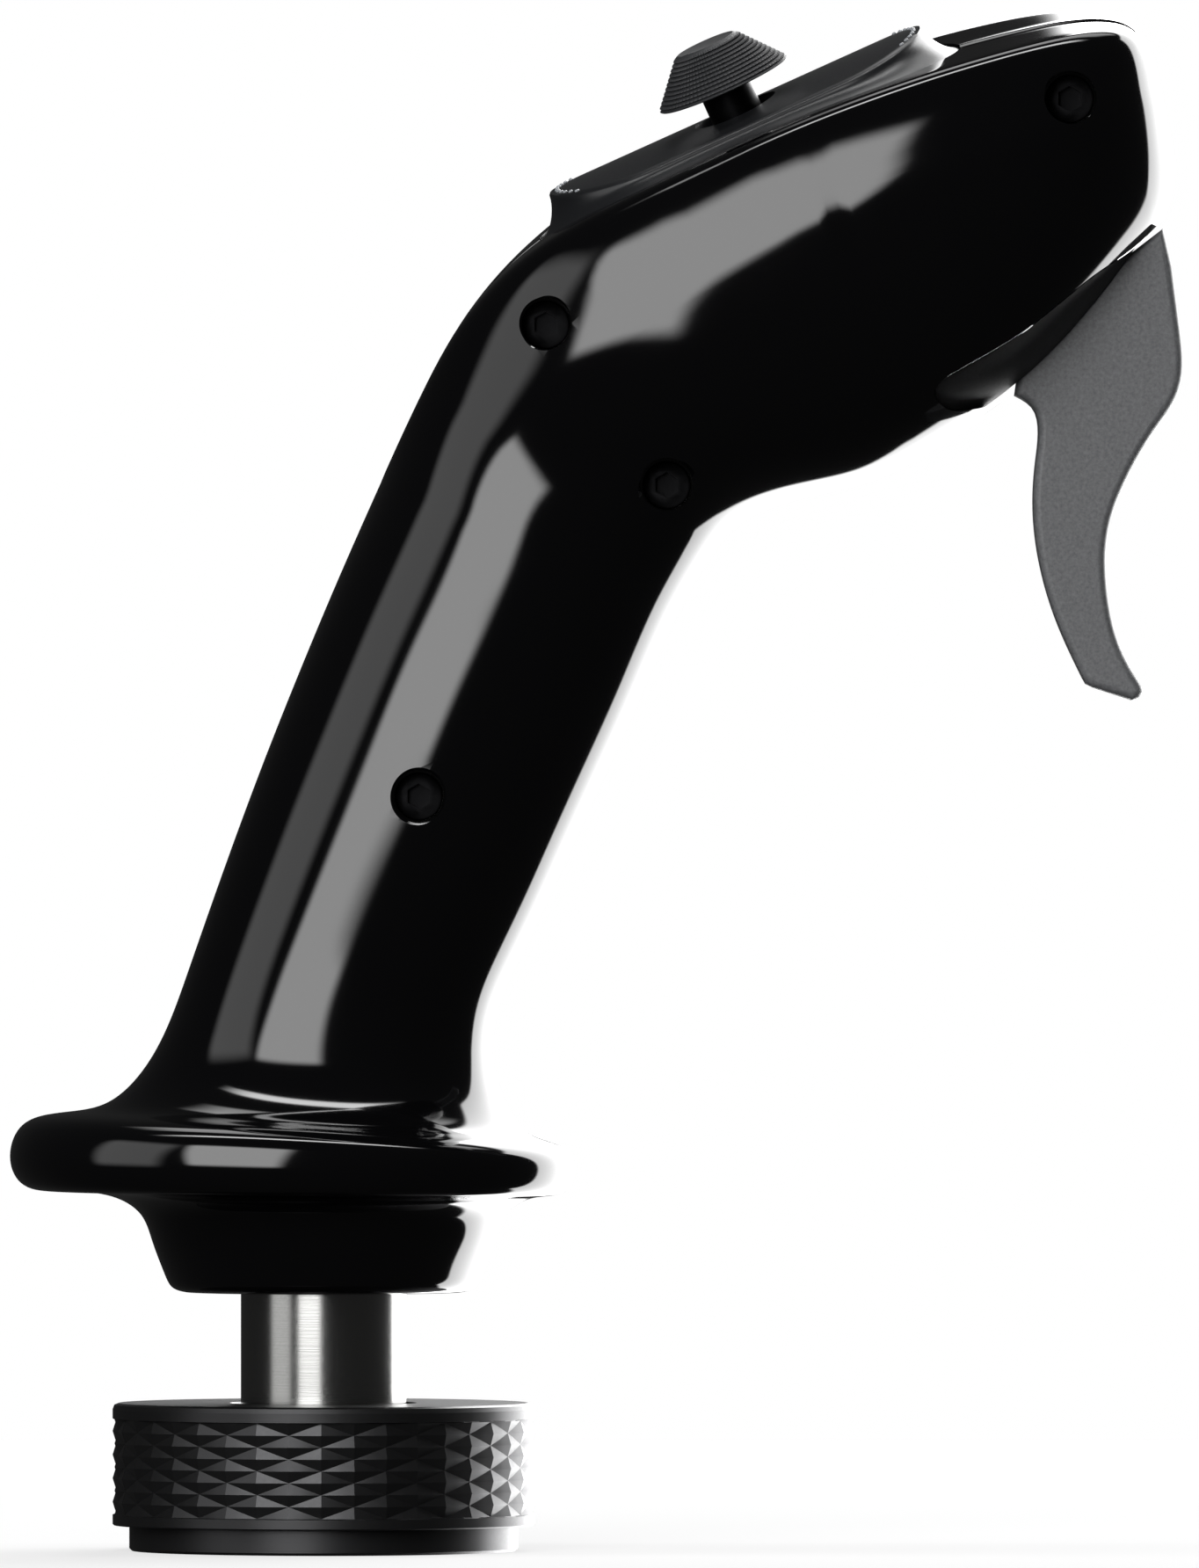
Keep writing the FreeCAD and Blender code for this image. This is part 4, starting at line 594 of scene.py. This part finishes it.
pivot_place = pad_place @ Matrix.Translation((0, 0, -6.0 * MM))
CAP_LOW, CAP_HEIGHT, CAP_BASE, CAP_TOP = 9.1, 5.2, 7.88, 3.7   # heights, then radii
STEM_RADIUS, STEM_DEPTH = 3.04, 2.25
RINGS, RING_DEPTH, TEETH, TOOTH_DEPTH = 11, 0.30, 84, 0.12
profile = [(0.0, CAP_LOW + STEM_DEPTH), (STEM_RADIUS, CAP_LOW + STEM_DEPTH), (STEM_RADIUS, CAP_LOW),
           (CAP_BASE - 0.15, CAP_LOW), (CAP_BASE, CAP_LOW + 0.12)]
for ring in range(RINGS):
    for share, sunk in ((0.0, 1.0), (0.28, 0.0), (0.62, 0.0)):
        along = (ring + share) / RINGS
        radius = CAP_BASE + (CAP_TOP + 0.25 - CAP_BASE) * along - RING_DEPTH * sunk
        profile.append((radius, CAP_LOW + 0.35 + (CAP_HEIGHT - 0.55) * along))
profile += [(CAP_TOP, CAP_LOW + CAP_HEIGHT - 0.12), (CAP_TOP - 0.25, CAP_LOW + CAP_HEIGHT),
            (CAP_TOP - 0.6, CAP_LOW + CAP_HEIGHT - 0.05), (0.0, CAP_LOW + CAP_HEIGHT - 0.12)]
cap = turned(profile, TEETH * 2)
for vert in cap.verts:
    radius = math.hypot(vert.co.x, vert.co.y)
    step = round(math.atan2(vert.co.y, vert.co.x) / (math.pi / TEETH))
    if step % 2 and radius > (CAP_TOP + 0.05) * MM and vert.co.z > (CAP_LOW + 0.2) * MM:
        vert.co.xy *= 1 - TOOTH_DEPTH * MM / radius
cap_object = to_object("stick_cap_visual", placed(cap, pivot_place))
finish(cap_object, "stick", moulded_rubber, "stick_cap", sharp=28)
clad(black_oxide, "stick_rod")

# ---------------------------------------------------------------- stick module
# The gimbal that the stick tilts in: a moulded case on a steel plate under the head's ledge, with
# a ring, a hub, a press switch with its plunger, a return spring and a small circuit board.

# Glass-filled nylon, moulded: dark, matt and faintly streaky.
nylon, tree, shader, where = new_material("glass_filled_nylon")
shader.inputs["Base Color"].default_value = linear("#26272a")
shader.inputs["IOR"].default_value = 1.53
streak = add(tree, "TexNoise", Vector=where, Scale=1 / (1.2 * MM), Detail=5.0)
matt = add(tree, "MapRange", Value=streak.outputs["Fac"], To_Min=0.5, To_Max=0.7)
tree.links.new(matt.outputs["Result"], shader.inputs["Roughness"])
bump(tree, shader, streak.outputs["Fac"], 0.01)
# Cold-rolled steel sheet and plated screws: grey, with a faint rolled grain.
zinc = new_metal("zinc_plated_steel", "#b4b6b8", 0.33, 0.6, 0.004)
# Bright spring wire, drawn smooth.
spring_wire = new_metal("spring_wire", "#c9cacb", 0.2, 0.3, 0.002)
# Solder-masked glass epoxy: green, glossy, with copper tracks showing as a slightly lighter weave.
circuit_board, tree, shader, where = new_material("solder_masked_board")
tracks = add(tree, "TexBrick", Vector=where, Scale=1 / (3.0 * MM), Mortar_Size=0.06,
             Color1=linear("#12512e"), Color2=linear("#155a34"), Mortar=linear("#2b7a4a"))
tree.links.new(tracks.outputs["Color"], shader.inputs["Base Color"])
shader.inputs["Roughness"].default_value = 0.25
clad(nylon, "stick_case", "gimbal_ring", "stick_hub", "press_switch", "press_plunger", "trigger_switch",
     "shaft_block", "controller_chip", "connector_insert")
clad(zinc, "module_plate", "plate_screws", "board_screws", "switch_screws", "grub_screws", "trigger_pin",
     "locating_peg")
clad(spring_wire, "press_spring", "trigger_spring")
clad(circuit_board, "module_board", "controller_board")

# ---------------------------------------------------------------- trigger cradle
# A matt inlay let into a crescent under the head's nose. It frames the trigger's slot and carries
# its pin in two ears, and is pinched between the shells.

# Matt ABS, moulded in a coarsely sparked tool: near-black with hardly any reflection.
matt_abs, tree, shader, where = new_material("matt_black_abs")
shader.inputs["Base Color"].default_value = linear("#1b1b1c")
shader.inputs["IOR"].default_value = 1.54
spark = add(tree, "TexNoise", Vector=where, Scale=1 / (0.35 * MM), Detail=3.0)
flat = add(tree, "MapRange", Value=spark.outputs["Fac"], To_Min=0.5, To_Max=0.66)
tree.links.new(flat.outputs["Result"], shader.inputs["Roughness"])
bump(tree, shader, spark.outputs["Fac"], 0.015)
clad(matt_abs, "trigger_cradle")

# ---------------------------------------------------------------- trigger
# A long hooked lever of grained charcoal nylon on a steel pin, with softly rounded edges. Its
# hidden rear arm presses the switch inside the head.

TRIGGER_NOSE = (95.4, 150.3)
TRIGGER_FRONT = [(96.4, 146.0), (97.2, 139.8), (97.6, 136.1), (97.4, 132.8), (96.4, 130.3),
                 (94.7, 127.8), (91.2, 121.8), (89.6, 117.8), (88.9, 113.7), (89.0, 109.8), (90.8, 102.1),
                 (92.9, 98.4)]
TRIGGER_BACK = [(86.3, 99.3), (83.5, 105.4), (81.4, 112.5), (80.7, 118.6), (81.0, 124.0), (81.3, 127.4),
                (80.7, 129.9), (78.6, 131.4)]
TIP = [(93.1, 97.7), (92.7, 97.0), (91.9, 96.75), (87.6, 98.15), (86.7, 98.6)]
HIDDEN = [(79.4, 137.0), (83.0, 143.6), (83.0, 146.6), (76.2, 146.9), (76.2, 149.6), (83.6, 149.6)]
HUB_RADIUS, HUB_FOOT, PIN_HOLE = 3.6, (90.3, 146.4), 1.55
TRIGGER_HALF, TRIGGER_EDGE = 5.0, 0.9

# Grained charcoal nylon: mid-grey with a fine even sparkle of texture and a low sheen.
grained_nylon, tree, shader, where = new_material("grained_charcoal_nylon")
shader.inputs["IOR"].default_value = 1.53
fleck = add(tree, "TexNoise", Vector=where, Scale=1 / (0.45 * MM), Detail=3.0, Roughness=0.7)
tone = add(tree, "ValToRGB", Fac=fleck.outputs["Fac"])
tone.color_ramp.elements[0].position, tone.color_ramp.elements[1].position = 0.3, 0.7
tone.color_ramp.elements[0].color, tone.color_ramp.elements[1].color = linear("#58595b"), linear("#757678")
tree.links.new(tone.outputs["Color"], shader.inputs["Base Color"])
low_sheen = add(tree, "MapRange", Value=fleck.outputs["Fac"], To_Min=0.42, To_Max=0.6)
tree.links.new(low_sheen.outputs["Result"], shader.inputs["Roughness"])
bump(tree, shader, fleck.outputs["Fac"], 0.02)

hub = [(PIVOT[0] + HUB_RADIUS * math.cos(a), PIVOT[1] + HUB_RADIUS * math.sin(a))
       for a in [math.radians(90 - 15 * k) for k in range(7)]]
outline = [TRIGGER_NOSE] + curve_points(TRIGGER_FRONT, 54) + TIP + curve_points(TRIGGER_BACK, 44)
outline += HIDDEN + hub + [HUB_FOOT]
blade = prism(outline, -TRIGGER_HALF, TRIGGER_HALF)
sides = [face for face in blade.faces if abs(face.normal.y) > 0.9]
rims = [edge for face in sides for edge in face.edges]
bmesh.ops.bevel(blade, geom=rims, offset=TRIGGER_EDGE * MM, offset_type="OFFSET", segments=4, affect="EDGES",
                profile=0.5, material=-1, clamp_overlap=False)
blade_object = to_object("trigger_blade", blade)
carve(blade_object, "DIFFERENCE", rod(PIN_HOLE, (PIVOT[0], -9, PIVOT[1]), (PIVOT[0], 9, PIVOT[1]), 32))
finish(blade_object, "trigger", grained_nylon, "trigger", sharp=40)
# The flat sides are shaded flat right up to the rounded edges.
flat_sides = blade_object.modifiers.new("flat_sides", "WEIGHTED_NORMAL")
flat_sides.weight, flat_sides.keep_sharp = 100, True

# Red nylon plunger of the trigger's switch.
red_nylon, tree, shader, where = new_material("red_nylon")
shade = add(tree, "TexNoise", Vector=where, Scale=1 / (0.7 * MM), Detail=2.0)
worn = add(tree, "MapRange", Value=shade.outputs["Fac"], To_Min=0.35, To_Max=0.5)
tree.links.new(worn.outputs["Result"], shader.inputs["Roughness"])
shader.inputs["Base Color"].default_value = linear("#b8321f")
clad(red_nylon, "switch_plunger")

# ---------------------------------------------------------------- shaft
# A turned stainless tube that runs up into the shells, with a ring welded round its foot that the
# collar pulls down on the base. Its mouth holds a five-pin connector and a key dowel.

# Stainless steel, turned and brushed round: bright bands softened along the shaft by fine rings.
turned_steel, tree, shader, where = new_material("turned_stainless_steel")
shader.inputs["Base Color"].default_value = linear("#a9a9a7")
shader.inputs["Metallic"].default_value = 1.0
rings = add(tree, "Mapping", Vector=where, Scale=(0.02, 0.02, 1.0))
lathe = add(tree, "TexNoise", Vector=rings.outputs["Vector"], Scale=1 / (0.12 * MM), Detail=3.0)
speck = add(tree, "TexNoise", Vector=where, Scale=1 / (0.3 * MM), Detail=2.0)
blur = add(tree, "MapRange", Value=speck.outputs["Fac"], To_Min=0.13, To_Max=0.24)
tree.links.new(blur.outputs["Result"], shader.inputs["Roughness"])
bump(tree, shader, lathe.outputs["Fac"], 0.003)
SHAFT_BORE, SHAFT_RADIUS, SHAFT_TOP, FOOT_RADIUS, FOOT_LOW, FOOT_HIGH = 7.0, 9.4, 52.0, 15.3, 5.6, 9.6
profile = [(SHAFT_BORE, FOOT_LOW + 0.3), (SHAFT_BORE + 0.3, FOOT_LOW), (FOOT_RADIUS - 0.4, FOOT_LOW),
           (FOOT_RADIUS, FOOT_LOW + 0.4), (FOOT_RADIUS, FOOT_HIGH - 0.4), (FOOT_RADIUS - 0.4, FOOT_HIGH),
           (SHAFT_RADIUS, FOOT_HIGH), (SHAFT_RADIUS, SHAFT_TOP - 0.4), (SHAFT_RADIUS - 0.4, SHAFT_TOP),
           (SHAFT_BORE, SHAFT_TOP), (SHAFT_BORE, FOOT_LOW + 0.3)]
shaft_object = to_object("steel_shaft", turned(profile, 128))
finish(shaft_object, "grip", turned_steel, "shaft", "shaft_foot", sharp=30)
# Gold-flashed brass pins, drawn and plated.
gold = new_metal("gold_flashed_pins", "#e0b45a", 0.18, 0.3, 0.001)
clad(gold, "connector_pins")

# ---------------------------------------------------------------- coupling collar
# A captive nut of black anodised aluminium: diamond knurl between two plain turned bands, a plain
# step below, and an M36 thread in its mouth. A white slip washer lies between it and the foot.

# Hard black anodising over turned aluminium: a dark satin skin with a soft metallic sheen.
anodised, tree, shader, where = new_material("black_anodised_aluminium")
shader.inputs["Base Color"].default_value = linear("#3a3a3b")
shader.inputs["Metallic"].default_value = 0.85
rings = add(tree, "Mapping", Vector=where, Scale=(0.02, 0.02, 1.0))
lathe = add(tree, "TexNoise", Vector=rings.outputs["Vector"], Scale=1 / (0.15 * MM), Detail=3.0)
etch = add(tree, "TexNoise", Vector=where, Scale=1 / (0.4 * MM), Detail=3.0)
satin = add(tree, "MapRange", Value=etch.outputs["Fac"], To_Min=0.3, To_Max=0.42)
tree.links.new(satin.outputs["Result"], shader.inputs["Roughness"])
bump(tree, shader, lathe.outputs["Fac"], 0.004)

COLLAR_RADIUS, KNURL_LOW, KNURL_HIGH = 24.0, 4.2, 14.95
DIAMONDS, KNURL_ROWS, KNURL_DEPTH, COLLAR_STRIPS = 20, 4, 0.42, 120
around = 2 * math.pi * COLLAR_RADIUS
cell_x, cell_z = around / DIAMONDS, (KNURL_HIGH - KNURL_LOW) / KNURL_ROWS
knurl = bmesh.new()
cells_across = DIAMONDS + KNURL_ROWS + 4
bmesh.ops.create_grid(knurl, x_segments=cells_across, y_segments=cells_across, size=cells_across / 2)
bmesh.ops.rotate(knurl, cent=(0, 0, 0), matrix=Matrix.Rotation(math.radians(45), 3, "Z"),
                 verts=knurl.verts[:])
bmesh.ops.scale(knurl, vec=(cell_x / math.sqrt(2), cell_z / math.sqrt(2), 1), verts=knurl.verts[:])
height = KNURL_HIGH - KNURL_LOW
bmesh.ops.poke(knurl, faces=knurl.faces[:], offset=KNURL_DEPTH)


def slice_knurl(along, direction, merge, trim=False):
    """Cuts the flat knurl through a point, square to a direction, and may drop what lies beyond."""
    bmesh.ops.bisect_plane(knurl, geom=knurl.verts[:] + knurl.edges[:] + knurl.faces[:], dist=merge,
                           plane_co=along, plane_no=direction, clear_outer=trim)


for sign in (-1, 1):
    slice_knurl((sign * around / 2, 0, 0), (sign, 0, 0), 1e-4, True)
    slice_knurl((0, sign * height / 2, 0), (0, sign, 0), 1e-4, True)
for k in range(-COLLAR_STRIPS // 2 + 1, COLLAR_STRIPS // 2):
    slice_knurl((k * around / COLLAR_STRIPS, 0, 0), (1, 0, 0), 1e-3)
for vert in knurl.verts:
    turn = vert.co.x / COLLAR_RADIUS
    radius = COLLAR_RADIUS - KNURL_DEPTH + vert.co.z
    level = vert.co.y + (KNURL_HIGH + KNURL_LOW) / 2
    vert.co = Vector((radius * math.cos(turn), radius * math.sin(turn), level))
bmesh.ops.remove_doubles(knurl, verts=knurl.verts[:], dist=0.01)
COLLAR_TOP, COLLAR_HOLE, RELIEF_RADIUS, RELIEF_TOP, STEP_RADIUS, STEP_TOP = 16.8, 10.3, 18.3, 10.6, 22.1, 2.9
THREAD_MAJOR, THREAD_MINOR, THREAD_TOP, HALF_PITCH = 17.9, 16.92, 5.4, 0.5
thread = [(THREAD_MAJOR if k % 2 else THREAD_MINOR, THREAD_TOP - HALF_PITCH * k) for k in range(11)]
upper = [(COLLAR_RADIUS, KNURL_HIGH + 0.1), (COLLAR_RADIUS, 16.1), (COLLAR_RADIUS - 0.2, 16.6),
         (COLLAR_RADIUS - 0.7, COLLAR_TOP), (10.6, COLLAR_TOP), (COLLAR_HOLE, 16.5),
         (COLLAR_HOLE, RELIEF_TOP), (RELIEF_RADIUS, RELIEF_TOP), (RELIEF_RADIUS, 5.6)] + thread
upper += [(17.4, 0.0), (21.8, 0.0), (STEP_RADIUS, 0.3), (STEP_RADIUS, STEP_TOP),
          (COLLAR_RADIUS - 0.15, STEP_TOP), (COLLAR_RADIUS, 3.05), (COLLAR_RADIUS, KNURL_LOW - 0.1)]
rim = [edge for edge in knurl.edges if edge.is_boundary and edge.verts[0].co.z > 10]
for radius, level in upper:
    made = bmesh.ops.extrude_edge_only(knurl, edges=rim)["geom"]
    rim = [item for item in made if isinstance(item, bmesh.types.BMEdge)]
    for vert in {v for edge in rim for v in edge.verts}:
        vert.co = Vector((*(vert.co.xy.normalized() * radius), level))
low = [edge for edge in knurl.edges if edge.is_boundary and edge.verts[0].co.z > KNURL_LOW - 0.01]
bmesh.ops.bridge_loops(knurl, edges=rim + [edge for edge in low if edge not in rim])
bmesh.ops.recalc_face_normals(knurl, faces=knurl.faces[:])
bmesh.ops.scale(knurl, vec=(MM, MM, MM), verts=knurl.verts[:])
finish(to_object("knurled_collar", knurl), "collar", anodised, "coupling_collar", sharp=12)

# White acetal, machined: bright, smooth and slightly waxy.
acetal, tree, shader, where = new_material("white_acetal")
shader.inputs["Base Color"].default_value = linear("#e6e5e0")
wax = add(tree, "TexNoise", Vector=where, Scale=1 / (1.0 * MM), Detail=2.0)
waxy = add(tree, "MapRange", Value=wax.outputs["Fac"], To_Min=0.3, To_Max=0.42)
tree.links.new(waxy.outputs["Result"], shader.inputs["Roughness"])
clad(acetal, "slip_washer", "board_plugs")

# ---------------------------------------------------------------- inner leads
# Round leads in black PVC run from the shaft's connector to the controller board in the handle,
# and from there to the stick module and the trigger's switch.

# Soft PVC, extruded: black, with a dull waxy sheen.
pvc, tree, shader, where = new_material("black_pvc")
shader.inputs["Base Color"].default_value = linear("#161617")
die = add(tree, "TexNoise", Vector=where, Scale=1 / (1.5 * MM), Detail=2.0)
waxen = add(tree, "MapRange", Value=die.outputs["Fac"], To_Min=0.38, To_Max=0.5)
tree.links.new(waxen.outputs["Result"], shader.inputs["Roughness"])
clad(pvc, "main_lead", "stick_lead", "trigger_lead")

# ---------------------------------------------------------------- studio
# A pale floor that only the camera sees, a bright softbox and a wide grey one on the camera's left,
# a white wall behind on the right that rims the object's right edges, and two strips over it.

scene = bpy.context.scene
scene.view_settings.view_transform = "Standard"
floor_mesh = bmesh.new()
bmesh.ops.create_grid(floor_mesh, x_segments=1, y_segments=1, size=0.5)
bmesh.ops.translate(floor_mesh, vec=(0.03, 0.0, 0.0), verts=floor_mesh.verts[:])
floor = to_object("floor", floor_mesh)
pale = bpy.data.materials.new("pale_floor")
pale.use_nodes = True
tree = pale.node_tree
tree.nodes.clear()
seen = add(tree, "LightPath").outputs["Is Camera Ray"]
white = add(tree, "Emission", Color=(1, 1, 1, 1), Strength=0.92)
soft = add(tree, "BsdfDiffuse", Color=linear("#f4f4f4"))
lit = add(tree, "MixShader", in0=0.25, in1=white.outputs["Emission"], in2=soft.outputs["BSDF"])
clear = add(tree, "BsdfTransparent")
both = add(tree, "MixShader", in0=seen, in1=clear.outputs["BSDF"], in2=lit.outputs["Shader"])
tree.links.new(both.outputs["Shader"], add(tree, "OutputMaterial").inputs["Surface"])
floor.data.materials.append(pale)

world = bpy.data.worlds.new("studio")
scene.world = world
world.use_nodes = True
tree = world.node_tree
tree.nodes.clear()
seen = add(tree, "LightPath").outputs["Is Camera Ray"]
page = add(tree, "Background", Color=(1, 1, 1, 1), Strength=1.0)
room = add(tree, "Background", Color=(0.5, 0.5, 0.5, 1), Strength=0.05)
mix = add(tree, "MixShader", in0=seen, in1=room.outputs["Background"], in2=page.outputs["Background"])
tree.links.new(mix.outputs["Shader"], add(tree, "OutputWorld").inputs["Surface"])

AIM, LAMP_DISTANCE = Vector((0.03, 0.0, 0.09)), 1.2


def softbox(name, azimuth, elevation, width, height, radiance, edge):
    """A softbox aimed at the object. Azimuth 0 is towards the camera, negative to its left. The edge
    is the share of its face over which it fades out."""
    a, e = math.radians(azimuth), math.radians(elevation)
    away = Vector((math.sin(a) * math.cos(e), -math.cos(a) * math.cos(e), math.sin(e)))
    light = bpy.data.lights.new(name, "AREA")
    light.shape, light.size, light.size_y = "RECTANGLE", width, height
    light.energy = radiance * math.pi * width * height
    light.use_nodes = True
    tree = light.node_tree
    across = add(tree, "SeparateXYZ", Vector=add(tree, "NewGeometry").outputs["Parametric"])
    fades = []
    for axis in ("X", "Y"):
        off = add(tree, "Math", {"operation": "SUBTRACT"}, in0=across.outputs[axis], in1=0.5)
        middle = add(tree, "Math", {"operation": "ABSOLUTE"}, in0=off.outputs["Value"])
        fades.append(add(tree, "MapRange", {"interpolation_type": "SMOOTHSTEP"},
                         Value=middle.outputs["Value"], From_Min=0.5, From_Max=0.5 - edge,
                         To_Min=0.0, To_Max=1.0))
    both = add(tree, "Math", {"operation": "MULTIPLY"}, in0=fades[0].outputs["Result"],
               in1=fades[1].outputs["Result"])
    glow = tree.nodes["Emission"]
    tree.links.new(both.outputs["Value"], glow.inputs["Strength"])
    lamp = bpy.data.objects.new(name, light)
    lamp.location = AIM + away * LAMP_DISTANCE
    lamp.rotation_euler = away.to_track_quat("Z", "Y").to_euler()
    scene.collection.objects.link(lamp)


softbox("key_softbox", -20, 19, 0.8, 1.15, 5.5, 0.14)
softbox("grey_softbox", -62, 16, 0.85, 1.3, 1.3, 0.22)
softbox("rim_wall", 146, 0, 1.6, 2.4, 7.0, 0.05)
softbox("top_strip", 165, 62, 1.2, 0.5, 2.5, 0.2)
softbox("overhead_strip", 0, 88, 1.4, 0.2, 11.0, 0.3)

camera_data = bpy.data.cameras.new("camera")
camera = bpy.data.objects.new("camera", camera_data)
FRAME_HEIGHT, DISTANCE = 0.1784, 3.0
camera_data.lens = camera_data.sensor_width * DISTANCE / FRAME_HEIGHT
camera_data.clip_end = 20
camera.location = (0.0314, -DISTANCE, 0.0872)
camera.rotation_euler = (math.pi / 2, 0, 0)
scene.collection.objects.link(camera)
scene.camera = camera
